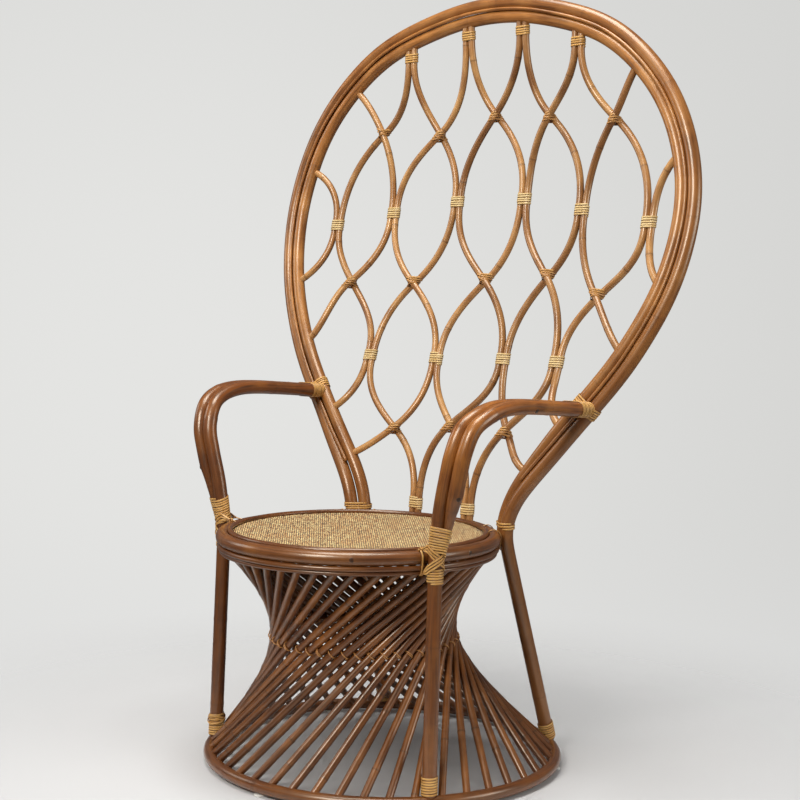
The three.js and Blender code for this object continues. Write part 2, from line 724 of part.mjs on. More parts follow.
// The twelve canes from left to right, each as its stops from the crown down
const latticeCanes = [
  [leftEnd(1), pairStop(W[0], LEFT), leftEnd(2)],
  [leftEnd(0), crossStop(X[0], FRONT, RIGHT), pairStop(W[1], LEFT), crossStop(Y[0], FRONT, LEFT), leftEnd(3)],
  [headStop(T[0], LEFT), crossStop(X[0], BEHIND, LEFT), pairStop(W[0], RIGHT), crossStop(Y[0], BEHIND, RIGHT),
    pairStop(V[0], LEFT), leftEnd(4)],
  [headStop(T[0], RIGHT), crossStop(X[1], BEHIND, RIGHT), pairStop(W[2], LEFT), crossStop(Y[1], BEHIND, LEFT),
    pairStop(V[0], RIGHT), crossStop(Z[0], BEHIND, RIGHT), seatStop(B[0], LEFT)],
  [headStop(T[1], LEFT), crossStop(X[1], FRONT, LEFT), pairStop(W[1], RIGHT), crossStop(Y[1], FRONT, RIGHT),
    pairStop(V[1], LEFT), crossStop(Z[0], FRONT, LEFT), leftEnd(5)],
  [headStop(T[1], RIGHT), crossStop(X[2], BEHIND, RIGHT), pairStop(W[3], LEFT), crossStop(Y[2], BEHIND, LEFT),
    pairStop(V[1], RIGHT), crossStop(Z[1], BEHIND, RIGHT), seatStop(B[1], LEFT)],
  [headStop(T[2], LEFT), crossStop(X[2], FRONT, LEFT), pairStop(W[2], RIGHT), crossStop(Y[2], FRONT, RIGHT),
    pairStop(V[2], LEFT), crossStop(Z[1], FRONT, LEFT), seatStop(B[0], RIGHT)],
  [headStop(T[2], RIGHT), crossStop(X[3], BEHIND, RIGHT), pairStop(W[4], LEFT), crossStop(Y[3], BEHIND, LEFT),
    pairStop(V[2], RIGHT), crossStop(Z[2], BEHIND, RIGHT), rightEnd(5)],
  [headStop(T[3], LEFT), crossStop(X[3], FRONT, LEFT), pairStop(W[3], RIGHT), crossStop(Y[3], FRONT, RIGHT),
    pairStop(V[3], LEFT), crossStop(Z[2], FRONT, LEFT), seatStop(B[1], RIGHT)],
  [headStop(T[3], RIGHT), crossStop(X[4], BEHIND, RIGHT), pairStop(W[5], LEFT), crossStop(Y[4], BEHIND, LEFT),
    pairStop(V[3], RIGHT), rightEnd(4)],
  [rightEnd(0), crossStop(X[4], FRONT, LEFT), pairStop(W[4], RIGHT), crossStop(Y[4], FRONT, RIGHT), rightEnd(3)],
  [rightEnd(1), pairStop(W[5], RIGHT), rightEnd(2)],
];

function latticeCane(stops) {
  const body = pole(latticePoints(stops), latticeTube, CANE_SIDES);
  return cut(body, hoopInner(CLEARANCE), seatHoop(CLEARANCE));
}

// Cane-strip windings: one flat strip wound on eight corners round one pole or a pair

// The corner of a turn, drawn tight round circles that lie side by side, some way proud of them
function turnCorner(circles, turn, proud) {
  const before = turn - Math.PI / TURN_CORNERS;
  const after = turn + Math.PI / TURN_CORNERS;
  const [near, far] = [before, after].map((angle) => proud + Math.max(
    ...circles.map(({ offset, radius }) => offset * Math.cos(angle) + radius),
  ));
  const spread = Math.sin(after - before);
  return [
    (near * Math.sin(after) - far * Math.sin(before)) / spread,
    (far * Math.cos(before) - near * Math.cos(after)) / spread,
  ];
}

// The inner and outer lines of a strip: start is the winding's end nearest the first pole point,
// side the way that the poles lie side by side, and circlesAt gives them at a distance along
function windingLines({ start, along, side, circlesAt, turns }) {
  const across = along.clone().cross(side);
  const steps = Math.round(turns * TURN_CORNERS);
  return Array.from({ length: steps + 1 }, (_, i) => {
    const turn = ((i + 1 / 2) / TURN_CORNERS) * 2 * Math.PI;
    const distance = (i / TURN_CORNERS) * STRIP_PITCH + STRIP_WIDTH / 2;
    return [CLEARANCE, CLEARANCE + STRIP_THICKNESS].map((proud) => {
      const [sideways, crossways] = turnCorner(circlesAt(distance), turn, proud);
      return start.clone()
        .addScaledVector(along, distance)
        .addScaledVector(side, sideways)
        .addScaledVector(across, crossways);
    });
  });
}

function winding(options) {
  const half = options.along.clone().multiplyScalar(STRIP_WIDTH / 2);
  return loft(windingLines(options).map(([inner, outer]) => [
    inner.clone().sub(half),
    inner.clone().add(half),
    outer.clone().add(half),
    outer.clone().sub(half),
  ]));
}

// Smallest gap from any turn of a winding to the next turn
function leastGap(options) {
  const half = options.along.clone().multiplyScalar(STRIP_WIDTH / 2);
  const line = windingLines(options).map(([inner]) => inner);
  const gaps = line.flatMap((p, i) => line.slice(i + TURN_CORNERS)
    .map((q) => q.clone().sub(half).distanceTo(p.clone().add(half))));
  return Math.min(...gaps);
}

const single = (radius) => () => [{ offset: 0, radius }];
const pair = (half, radius) => () => [{ offset: -half, radius }, { offset: half, radius }];

function pairWinding(share, turns = LATTICE_TURNS) {
  const stop = pairStop(share, 0, windingLength(turns));
  const along = stop.down.clone().negate();
  return {
    start: stop.leave,
    along,
    side: squareTo(SIDEWAYS, along),
    circlesAt: pair(pairStep, latticeTube),
    turns,
  };
}

// A winding round one straight stretch of pole, starting at a distance from its first point, with
// its flats towards one side
function poleWinding(from, to, distance, radius, turns, flatSide = SIDEWAYS) {
  const along = to.clone().sub(from).normalize();
  return {
    start: from.clone().addScaledVector(along, distance),
    along,
    side: squareTo(flatSide, along),
    circlesAt: single(radius),
    turns,
  };
}

function frontFootWinding(side) {
  const [foot, next] = onSide(armAndLegPoints(), side);
  return poleWinding(foot, next, FOOT_TIE_RISE, legTube, FOOT_TURNS, foot.clone().setZ(0));
}

function rearFootWinding(side) {
  const [foot, next] = onSide(rearLegPoints(), side);
  return poleWinding(foot, next, FOOT_TIE_RISE, outerTube, FOOT_TURNS, foot.clone().setZ(0));
}

function legWinding(side) {
  const [foot, seat] = onSide(armAndLegPoints(), side);
  const drop = LEG_TIE_DROP - seatTube;
  return poleWinding(seat, foot, drop, legTube, LEG_TIE_TURNS, foot.clone().setZ(0));
}

function armFootWinding(side) {
  const ends = [ARM_WINDING_RISE, ARM_WINDING_RISE + windingLength(ARM_FOOT_TURNS)];
  const [from, to] = onSide(ends.map((d) => armCurve.getPointAt(d / armLength)), side);
  return {
    ...poleWinding(from, to, 0, armTube, ARM_FOOT_TURNS),
    circlesAt: (distance) => [
      { offset: 0, radius: armTube },
      {
        offset: side * outerArmStep(ARM_WINDING_RISE + distance),
        radius: outerArmTube(ARM_WINDING_RISE + distance) + CLEARANCE,
      },
    ],
  };
}

function armHoopWinding(side) {
  const ends = [ARM_HOOP_WINDING_GAP, ARM_HOOP_WINDING_GAP + windingLength(ARM_HOOP_TURNS)];
  const middle = ends.map((d) => armCurve.getPointAt(1 - d / armLength).addScaledVector(SIDEWAYS, armGap / 2));
  const [from, to] = onSide(middle, side);
  return { ...poleWinding(from, to, 0, armTube, ARM_HOOP_TURNS), circlesAt: pair(armGap / 2, armTube) };
}

function seatTieWinding(side) {
  const [outer, inner] = [outerLine, innerLine].map((line) => onSide([line[0]], side)[0]);
  const low = outer.clone().lerp(inner, 1 / 2).setZ(SEAT_HEIGHT);
  const high = low.clone().setZ(tieHeight);
  const tie = poleWinding(low, high, SEAT_TIE_RISE, outerTube, SEAT_TIE_TURNS);
  return {
    ...tie,
    side: squareTo(outer.clone().sub(inner), tie.along),
    circlesAt: () => [
      { offset: -pairHalf, radius: innerTube + CLEARANCE },
      { offset: pairHalf, radius: outerTube },
    ],
  };
}

// Assembly

const chair = new THREE.Group();
chair.name = 'rattan_chair';

function add(name, geometry, material) {
  const mesh = new THREE.Mesh(geometry, material);
  mesh.name = name;
  chair.add(mesh);
}

const turnGaps = [];

function addWinding(name, options, material) {
  turnGaps.push(leastGap(options));
  add(name, winding(options), material);
}

for (let i = 0; i < GLIDE_COUNT; i += 1) add(`glide_${i + 1}`, glide(i), glidePlastic);
add('base_hoop', baseHoop(), darkPole);
cageSides.forEach((side, i) => add(`cage_${side[0]}`, cageSide(side, i), darkPole));
add('under_hoop_lower', thinHoop(underLower), darkPole);
add('under_hoop_upper', thinHoop(underUpper), darkPole);
add('seat_hoop', seatHoop(), darkPole);
add('seat_rim', thinHoop(rim), darkPole);
add('seat_panel', seatPanel(), seatWeave);
add('back_hoop_outer', cut(hoopOuter(), baseHoop(CLEARANCE)), goldenPole);
add('back_hoop_inner', hoopInner(), goldenPole);
add('back_hoop_strip', hoopStrip(), goldenPole);

latticeCanes.forEach((stops, i) => {
  add(`lattice_cane_${String(i + 1).padStart(2, '0')}`, latticeCane(stops), cane);
});
T.forEach((share, i) => addWinding(`binding_top_${i + 1}`, pairWinding(share, TOP_TURNS), goldenStrip));
W.forEach((share, i) => addWinding(`binding_high_${i + 1}`, pairWinding(share), paleStrip));
V.forEach((share, i) => addWinding(`binding_low_${i + 1}`, pairWinding(share), paleStrip));
B.forEach((share, i) => addWinding(`binding_seat_${i + 1}`, pairWinding(share), paleStrip));

[['right', RIGHT], ['left', LEFT]].forEach(([name, side]) => {
  add(`arm_and_leg_${name}`, armAndLeg(side), darkPole);
  add(`arm_outer_${name}`, armOuter(side), darkPole);
  addWinding(`arm_foot_winding_${name}`, armFootWinding(side), goldenStrip);
  addWinding(`arm_hoop_winding_${name}`, armHoopWinding(side), goldenStrip);
  addWinding(`leg_tie_${name}`, legWinding(side), goldenStrip);
  addWinding(`seat_tie_${name}`, seatTieWinding(side), goldenStrip);
  addWinding(`front_foot_tie_${name}`, frontFootWinding(side), goldenStrip);
  addWinding(`rear_foot_tie_${name}`, rearFootWinding(side), goldenStrip);
});

// The origin is on the floor, under the middle of the whole chair
const extent = new THREE.Box3().setFromObject(chair);
chair.position.y = -(extent.min.y + extent.max.y) / 2;

console.log(`least gap between turns of a winding: ${Math.min(...turnGaps).toFixed(2)} mm`);

export default chair;
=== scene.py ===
"""A varnished rattan chair with a round woven seat, an hourglass base and a balloon lattice back.

Shapes are worked out in millimetres from the middle of the seat at floor height, X to the sitter's
left, Y to the back and Z up, and are turned to metres in the frame when a mesh is made.
"""
import math

import bpy
import numpy as np
from mathutils import Matrix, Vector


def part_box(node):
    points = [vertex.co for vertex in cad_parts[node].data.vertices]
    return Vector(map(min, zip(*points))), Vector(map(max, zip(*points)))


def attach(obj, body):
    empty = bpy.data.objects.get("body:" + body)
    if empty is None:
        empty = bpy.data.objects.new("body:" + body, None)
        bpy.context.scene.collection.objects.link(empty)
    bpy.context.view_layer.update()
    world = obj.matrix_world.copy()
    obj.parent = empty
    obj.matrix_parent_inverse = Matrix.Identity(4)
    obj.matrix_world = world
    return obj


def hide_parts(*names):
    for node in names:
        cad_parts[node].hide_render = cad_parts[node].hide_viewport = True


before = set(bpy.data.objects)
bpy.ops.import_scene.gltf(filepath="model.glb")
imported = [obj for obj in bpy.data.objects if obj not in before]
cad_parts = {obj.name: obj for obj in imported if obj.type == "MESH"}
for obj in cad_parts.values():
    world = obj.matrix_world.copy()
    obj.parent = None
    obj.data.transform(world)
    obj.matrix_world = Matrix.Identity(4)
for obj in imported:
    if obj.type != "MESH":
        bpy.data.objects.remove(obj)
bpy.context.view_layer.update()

bl_info = {
    "name": "Rattan Peacock Chair",
    "version": (1, 0, 0),
    "blender": (4, 5, 0),
    "location": "View3D > Sidebar > Rattan Chair",
    "description": "Builds a varnished rattan chair with a lattice back, a woven seat and an hourglass base",
    "category": "Add Mesh",
}

MM = 0.001
SEAT_SETBACK = sum(corner[1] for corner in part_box("seat_hoop")) / 2 / MM
FULL = 2 * math.pi
RIGHT, LEFT = 1, -1
SIDES = (("right", RIGHT), ("left", LEFT))
FRONT, BEHIND = 1, -1
SIDEWAYS = np.array([1.0, 0.0, 0.0])
AHEAD = np.array([0.0, -1.0, 0.0])
UP = np.array([0.0, 0.0, 1.0])
# A point or a direction times this loses its height
LEVEL = np.array([1.0, 1.0, 0.0])

# Hoops of the seat and the base
CLEARANCE = 0.3
SEAT_HEIGHT = 443.5
SEAT_OUTER_RADIUS = 270.0
SEAT_TUBE = 13.0
SEAT_RADIUS = SEAT_OUTER_RADIUS - SEAT_TUBE
RIM_TUBE = 5.0
RIM_LEAN = math.radians(141)
UNDER_UPPER_TUBE = 5.0
UNDER_UPPER_LEAN = math.radians(-71)
UNDER_LOWER_TUBE = 4.0
UNDER_LOWER_LEAN = math.radians(-109)
PANEL_CROWN = 4.5
PANEL_THICKNESS = 2.6
PANEL_TUCK = 1.0
PANEL_SLOPE = 15.0
BASE_TUBE = 11.5
BASE_RADIUS = 336.0
BASE_SETBACK = 78.0
BASE_HEIGHT = 15.8
GLIDE_COUNT = 3
# Height and radius of a turned glide: from the sole's soft edge to a chamfer under the hoop
GLIDE_PROFILE = np.array([(0, 9.3), (0.25, 10.4), (0.9, 11), (2.6, 11), (3.6, 10.6), (4.0, 9.6)])

# Hourglass cage
CAGE_TUBE = 7.3
WAIST_RADIUS = 174.0
WAIST_HEIGHT = 249.0
WAIST_SETBACK = 20.0
WAIST_TUBE = 5.5
LOWER_TWIST = math.radians(50)
UPPER_TWIST = math.radians(53)
CAGE_BEND_REACH = 34.0
# Each side's canes, and how much of the room beside a leg its first and its last cane leave free
CAGE_SIDES = (("front", 14, 0.95, 1.32), ("right", 10, 1, 1.32), ("rear", 10, 1, 1.32),
              ("left", 10, 0.9, 1.9))
CAGE_LEG_ROOM = 1.2
# The waist hoop is let into the canes, and each tie lies a little off its cane
WAIST_BITE = 1.0
WAIST_TIE_LIFT = 0.9
WAIST_TIE_START = 1.6
WAIST_TIE_TURNS = 1.4
WAIST_TIE_PITCH = 2.8
WAIST_TIE_STRIP = (2.4, 1.8)

# Legs and arms
LEG_TUBE = 13.25
FRONT_SEAT_ANGLE = math.radians(70)
FRONT_FLOOR_ANGLE = math.radians(55.2)
FRONT_FLOOR_RADIUS = BASE_RADIUS - 5
REAR_FLOOR_ANGLE = math.radians(140.5)
LEG_SADDLE_DEPTH = 5.0
LEG_FOOT_HEIGHT = BASE_HEIGHT + BASE_TUBE - LEG_SADDLE_DEPTH
LEG_BEND_REACH = 30.0
REAR_LEG_BEND_DROP = 22.0
ARM_TUBE = 13.5
ARM_HEIGHT = 263.5
ARM_FRONT_DEPTH = 103.0
ARM_HOOP_HEIGHT = 249.5
ARM_TIP_TUBE = 3.0
ARM_SCARF_LENGTH = 105.0
ARM_TIP_RISE = 14.0
# Which point of the arm's line the leg's bend reaches
ARM_BEND_POINT = 40
# Distances from the foot between which the leg thickens into the arm
ARM_THICKENING = (400, 470)
# Painted light and shade on each arm's poles, from -1, dark, to 1, light: the left arm is painted darker as
# if in shade, the right one lighter as if lit
ARM_LIGHT_AND_SHADE = {RIGHT: 1.0, LEFT: -0.8}

# Back hoop and lattice
OUTER_TUBE = 14.0
INNER_TUBE = 13.0
STRIP_TUBE = 3.5
PAIR_HALF = (OUTER_TUBE + INNER_TUBE + CLEARANCE) / 2
# How far ahead of the two poles the thin one lies in their groove
GROOVE_FORWARD = math.sqrt((OUTER_TUBE + STRIP_TUBE) ** 2 - PAIR_HALF ** 2)
# The poles are drawn thinner by these, so that their growth rings stay inside the solids
OUTER_RING_ROOM = 0.75
INNER_RING_ROOM = 0.35
BACK_HALF_WIDTH = 494.0
BACK_HEIGHT = 1036.0
BACK_RAKE = 190.0
TIE_DEPTH = 213.0
TIE_HEIGHT = SEAT_HEIGHT + 30
TIE_ANGLE = math.radians(138.4)
HOOP_TAIL_DROP = 16.0
HOOP_BEND_REACH = 30.0
HOOP_BEND_DRAW = 3.5
STRIP_SHARES = (0.03, 0.97)
LATTICE_TUBE = 7.1
PAIR_STEP = LATTICE_TUBE + CLEARANCE / 2
CROSS_STEP = LATTICE_TUBE + CLEARANCE
DISH_DEPTH = 58.3
# How far the canes run on past the top bands, and past the bands at the seat
CANE_HEAD = 25.0
CANE_FOOT = 16.0

# Half of the back hoop from its crown down: width, height and rake
OUTLINE_SHARES = np.array([
    (0, 1, 0.97), (0.265, 0.985, 0.96), (0.605, 0.925, 0.91), (0.87, 0.8, 0.824), (0.99, 0.645, 0.71),
    (0.97, 0.49, 0.537), (0.835, 0.34, 0.337), (0.59, 0.183, 0.126), (0.42, 0.072, 0.02)])

# Rise, reach forward and spread of an arm, from the seat up to its level part
ARM_BEND_SHARES = np.array([
    (0.33, 0.97, 0.21), (0.56, 1, 0.46), (0.717, 0.99, 0.63), (0.872, 0.835, 0.755), (0.946, 0.58, 0.877),
    (1, 0.05, 0.93)])

# Depth of the lattice behind the hoop, from the seat up to the crown
DISH_SHARES = np.array([
    (0, 0.72), (0.17, 0.84), (0.31, 1), (0.62, 0.97), (0.78, 0.8), (0.93, 0.18), (1, 0)])

# Width and height of the bands and crossings on the back, row by row from the crown down
TOP_BANDS = [(-0.425, 0.922), (-0.128, 0.957), (0.149, 0.956), (0.43, 0.92)]
HIGH_BANDS = [(-0.778, 0.584), (-0.499, 0.607), (-0.177, 0.629), (0.169, 0.631), (0.474, 0.604),
              (0.824, 0.578)]
LOW_BANDS = [(-0.487, 0.315), (-0.16, 0.313), (0.186, 0.32), (0.474, 0.32)]
SEAT_BANDS = [(-0.13, 0.032), (0.141, 0.032)]

# Crossings: width, height, and how many degrees each cane leans to the right on its way down
HIGH_CROSSINGS = [(-0.579, 0.775, 28, -50), (-0.287, 0.761, 36, -50), (-0.004, 0.794, 45, -40),
                  (0.277, 0.785, 50, -34), (0.613, 0.77, 51, -34)]
MIDDLE_CROSSINGS = [(-0.658, 0.462, 40, -49), (-0.345, 0.466, 48, -48), (0.023, 0.473, 47, -46),
                    (0.344, 0.482, 43, -43), (0.617, 0.446, 40, -48)]
LOW_CROSSINGS = [(-0.286, 0.172, 50, -50), (-0.015, 0.183, 42, -47), (0.285, 0.182, 40, -46)]

# Ends of canes on the hoop, from the crown down: height and lean
LEFT_ENDS = [(0.865, 52), (0.7, 70), (0.463, -62), (0.34, -48), (0.205, -59), (0.118, -68)]
RIGHT_ENDS = [(0.866, -32), (0.698, -46), (0.463, 44), (0.343, 46), (0.205, 52), (0.118, 65)]

# Windings where two canes cross: tilt of the axis, turns, distance between turns and height above the canes
CROSSING_WINDINGS = ((math.radians(-9), 3.6, 4.3, 0.2), (math.radians(27), 1.5, 4.6, 1.4))
CROSSING_LEAN_LIMIT = math.radians(58)
CROSSING_DRAW = 0.72
CROSSING_PINCH = 0.86
CROSSING_STRIP = (3.9, 1.5)
NAIL_RISE = 2.6

# A strand's way round the seat hoop and the thin hoops under it, from the groove inside to the underside
ROUND_SEAT_HOOP = ((-9.5, 10.2), (-5.0, 12.8), (2.0, 13.9), (9.0, 10.7), (13.4, 4.0), (13.7, -4.0),
                   (12.4, -14.0), (11.4, -19.5), (7.8, -27.5), (2.0, -31.2), (-2.5, -30.0))

# Strands that cross over a leg at the seat: how many fall each way, how far each falls from side to side,
# how far apart they lie, and how far the second set stands off the first
CROSS_STRANDS = 3
CROSS_FALL = 19.0
CROSS_SPREAD = 6.2
CROSS_LIFT = 1.5

# The strand beside a leg, and its knot on top of the seat hoop
SIDE_STRAND_GAP = 4.5
SIDE_STRAND_TONE = -0.8
KNOT_SPOT = (3.0, 15.2)
KNOT_RADIUS = 2.4
KNOT_TURNS = 2.0
KNOT_HALF_LENGTH = 3.5
SEAT_CROSS_GAP = 7.0

# Pegs: angles round the seat, and shares of the arm's length with the way that each faces
SEAT_PEG_ANGLES = (math.radians(39.2), math.radians(89.8))
ARM_PEGS = ((0.692, (1.0, 0.0, -0.6)), (0.201, (0.93, -0.47, -0.19)))
PEG_SINK = 0.2
# Height and share of the radius of a peg's low dome, from its root in the pole
PEG_PROFILE = np.array([(-1.5, 1.0), (0.1, 1.0), (0.45, 0.86), (0.6, 0.4)])

# The solids' windings: distance between turns, and width of the strip
SOLID_PITCH = 4.6
SOLID_STRIP = 4.0

# Windings: turns, where they start, and how far their loops slant
BAND_TURNS = 5
TOP_BAND_TURNS = 4
BAND_TONES = (-1.0, 0.6)
ARM_FOOT_TURNS = 10
ARM_FOOT_RISE = 8.0
ARM_FOOT_SLANT = -3.2
ARM_HOOP_END_TURNS = 8
ARM_HOOP_START = 3.0
HOOP_CROSS_RISE = 4.0
HOOP_CROSS_TURNS = 4.6
LEG_BAND_TURNS = 5.5
LEG_BAND_DROP = 3.5
REAR_FOOT_TURNS = 7.0
REAR_FOOT_RISE = 6.0
SEAT_BAND_TURNS = 2.2
SEAT_BAND_PITCH = 5.0
SEAT_BAND_RISE = 14.0
# Each winding on a front foot: how far up it starts, how far it lies off the leg, its turns and its slant
FRONT_FOOT_WINDINGS = {
    RIGHT: ((6.0, 0.2, 7.0, 0.0),),
    LEFT: ((8.0, 0.2, 9.0, 0.0), (34.0, 1.7, 1.6, 7.0), (34.0, 3.0, 1.6, -7.0))}


# Vectors and curves

def unit(v):
    """Vectors scaled to a length of one."""
    return v / np.maximum(np.linalg.norm(v, axis=-1, keepdims=True), 1e-12)


def square_to(v, along):
    """The unit vectors nearest to v that are square to another direction."""
    return unit(v - along * np.sum(v * along, axis=-1, keepdims=True))


def smooth(x, low, high):
    """Rises from 0 to 1 between low and high, level at both ends: 3t² - 2t³."""
    t = np.clip((x - low) / (high - low), 0, 1)
    return t * t * (3 - 2 * t)


def on_circle(radius, angle, setback, height):
    """A level circle: the angle is counted from straight ahead towards +X."""
    angle = np.asarray(angle, float)
    return np.stack([radius * np.sin(angle), setback - radius * np.cos(angle), height + 0 * angle], -1)


def even(curve, count, start=0.0, stop=1.0):
    """Samples a line evenly between two shares of its length."""
    s = lengths(curve)
    at = np.linspace(start, stop, count) * s[-1]
    return np.stack([np.interp(at, s, curve[:, k]) for k in range(curve.shape[1])], -1)


def lengths(curve):
    """The distance along a line of points to each of them."""
    return np.concatenate([[0], np.cumsum(np.linalg.norm(np.diff(curve[:, :3], axis=0), axis=1))])


def stepped(curve, step):
    """Samples a line about every so many millimetres."""
    return even(curve, max(int(round(lengths(curve)[-1] / step)), 2) + 1)


def bent(points, count=1201):
    """A centripetal Catmull-Rom curve: each stretch is a cubic whose ends lean as the knots' spacing says."""
    p = np.asarray(points, float)
    p = np.vstack([2 * p[0] - p[1], p, 2 * p[-1] - p[-2]])
    gap = np.linalg.norm(np.diff(p, axis=0), axis=1)[:, None] ** 0.5
    a, b, c, d = p[:-3], p[1:-2], p[2:-1], p[3:]
    g0, g1, g2 = gap[:-2], gap[1:-1], gap[2:]
    m1 = ((b - a) / g0 - (c - a) / (g0 + g1) + (c - b) / g1) * g1
    m2 = ((c - b) / g1 - (d - b) / (g1 + g2) + (d - c) / g2) * g1
    t = np.linspace(0, 1, 61)[:-1, None, None]
    curve = ((2 * t**3 - 3 * t**2 + 1) * b + (t**3 - 2 * t**2 + t) * m1
             + (3 * t**2 - 2 * t**3) * c + (t**3 - t**2) * m2)
    curve = np.vstack([curve.transpose(1, 0, 2).reshape(-1, 3), p[-2:-1]])
    return even(curve, count)


def rounded(points, reach, count=1201):
    """Straight runs whose corners are rounded off over a reach on either side of each corner."""
    p = np.asarray(points, float)
    line = [p[0]]
    for before, corner, after in zip(p, p[1:], p[2:]):
        start = corner + unit(before - corner) * min(reach, np.linalg.norm(before - corner) / 2)
        stop = corner + unit(after - corner) * min(reach, np.linalg.norm(after - corner) / 2)
        t = np.linspace(0, 1, 17)[:, None]
        line += list((1 - t) ** 2 * start + 2 * t * (1 - t) * corner + t**2 * stop)
    line.append(p[-1])
    return even(np.array(line), count)


def relaxed(line, reach):
    """Evens out the bends of a line: each point becomes a bell-shaped average over a reach each way."""
    step = 3.0
    line = stepped(line, step)
    count = int(3 * reach / step)
    k = np.arange(-count, count + 1) * step / reach
    weights = np.exp(-k**2)
    weights /= weights.sum()
    held = np.vstack([2 * line[0] - line[count:0:-1], line, 2 * line[-1] - line[-2:-count - 2:-1]])
    return np.stack([np.convolve(held[:, axis], weights, "valid") for axis in range(3)], -1)


def tangents(path, closed=False):
    """The direction of a line at each of its points, from the points before and after."""
    if closed:
        return unit(np.roll(path, -1, 0) - np.roll(path, 1, 0))
    return unit(np.gradient(path, axis=0))


def on_side(path, side):
    """The same line, or its mirror image on the left."""
    return path * np.array([side, 1.0, 1.0])


# Middle lines of the chair's poles

def hoop_middle():
    """The line between the back hoop's two poles: its right half and the mirror image of it."""
    tie = on_circle(SEAT_OUTER_RADIUS + CLEARANCE + OUTER_TUBE, TIE_ANGLE, 0, TIE_HEIGHT)
    width, height, rake = OUTLINE_SHARES.T
    half = np.stack([width * BACK_HALF_WIDTH, TIE_DEPTH + rake * BACK_RAKE,
                     SEAT_HEIGHT + height * BACK_HEIGHT], -1)
    right = np.vstack([tie, half[::-1]])
    return bent(np.vstack([right, on_side(right[:-1], LEFT)[::-1]]), 2401)


HOOP = hoop_middle()
HOOP_MIDDLE = len(HOOP) // 2


def hoop_face(line):
    """The way the back hoop faces: inward at the seat, straight ahead from a fifth of its height up."""
    turned = smooth((line[:, 2] - TIE_HEIGHT) / BACK_HEIGHT, 0, 0.2)[:, None]
    inward = unit(line * -LEVEL)
    return square_to(inward * (1 - turned) + AHEAD * turned, tangents(line))


def along_hoop(outward, forward, start=0.0, stop=1.0):
    """A line beside the hoop's middle, moved outwards and towards the sitter."""
    face = hoop_face(HOOP)
    line = HOOP + np.cross(tangents(HOOP), face) * outward + face * forward
    last = len(line) - 1
    return line[int(start * last): int(stop * last) + 1]


OUTER_LINE = along_hoop(PAIR_HALF, 0)
INNER_LINE = along_hoop(-PAIR_HALF, 0)
RIGHT_HOOP = HOOP[:HOOP_MIDDLE + 1]
RIGHT_INNER = INNER_LINE[:HOOP_MIDDLE + 1]


def rear_leg_points():
    """A rear leg's foot, the bend below the seat hoop, and the place beside the hoop."""
    beside_hoop = OUTER_LINE[0] * LEVEL + UP * SEAT_HEIGHT
    floor = on_circle(BASE_RADIUS, REAR_FLOOR_ANGLE, BASE_SETBACK, LEG_FOOT_HEIGHT)
    return floor, beside_hoop + (floor - beside_hoop) * REAR_LEG_BEND_DROP / SEAT_HEIGHT, beside_hoop


def outer_hoop_line():
    """The outer pole: from one rear foot up round the back and down to the other, bent softly at the seat."""
    leg = np.vstack(rear_leg_points())
    leg[1:] -= unit(leg[1:] * LEVEL) * HOOP_BEND_DRAW
    return relaxed(np.vstack([leg, OUTER_LINE, on_side(leg, LEFT)[::-1]]), HOOP_BEND_REACH)


def inner_hoop_line():
    """The inner pole: beside the outer one, with its ends just below the seat hoop."""
    floor, bend, beside_hoop = rear_leg_points()
    step = 2 * PAIR_HALF + CLEARANCE
    down = unit(floor - bend)
    start = bend + square_to(INNER_LINE[0] - OUTER_LINE[0], down) * step
    level = unit((INNER_LINE[0] - OUTER_LINE[0]) * LEVEL)
    tail = np.vstack([start + down * HOOP_TAIL_DROP, start, beside_hoop + level * step])
    tail -= unit(tail * LEVEL) * HOOP_BEND_DRAW
    return relaxed(np.vstack([tail, INNER_LINE, on_side(tail, LEFT)[::-1]]), HOOP_BEND_REACH)


def at_height(line, z):
    """Points of a line that rises all the way, at given heights."""
    return np.stack([np.interp(z, line[:, 2], line[:, k]) for k in range(3)], -1)


def front_leg_at(height):
    """Where the right front leg passes the seat hoop."""
    return on_circle(SEAT_OUTER_RADIUS + CLEARANCE + LEG_TUBE, FRONT_SEAT_ANGLE, 0, height)


def front_leg_foot():
    """The foot of the right front leg, let into the floor hoop."""
    return on_circle(FRONT_FLOOR_RADIUS, FRONT_FLOOR_ANGLE, BASE_SETBACK, LEG_FOOT_HEIGHT)


def arm_middle():
    """The right arm's inner pole, from the seat up, forward over the bend and back to the hoop."""
    start = front_leg_at(SEAT_HEIGHT)
    end = at_height(RIGHT_HOOP, SEAT_HEIGHT + ARM_HOOP_HEIGHT)
    end = end + (-ARM_TUBE - CLEARANCE / 2, -CLEARANCE - INNER_TUBE / 2, 0)
    rise, reach, spread = ARM_BEND_SHARES.T
    bend = np.stack([start[0] + spread * (end[0] - start[0]), -reach * ARM_FRONT_DEPTH,
                     SEAT_HEIGHT + rise * ARM_HEIGHT], -1)
    return bent(np.vstack([start, bend, end]), 801)


ARM = arm_middle()
ARM_LENGTH = lengths(ARM)[-1]


def on_arm(share):
    """The point at a share of the arm's length."""
    return even(ARM, 2, 0, share)[-1]


def outer_arm_tube(distance):
    """The outer arm pole's radius: it is scarfed thin at its foot."""
    share = np.clip((distance - ARM_TIP_RISE) / ARM_SCARF_LENGTH, 0, 1)
    return ARM_TIP_TUBE + (ARM_TUBE - ARM_TIP_TUBE) * share


def arm_and_leg_line():
    """The inner arm pole with the front leg: straight up from the floor and softly into the arm."""
    bend = front_leg_at(SEAT_HEIGHT - SEAT_TUBE)
    leg = rounded([front_leg_foot(), bend, ARM[ARM_BEND_POINT]], LEG_BEND_REACH, 300)
    return np.vstack([leg, ARM[ARM_BEND_POINT + 1:]])


# The lattice

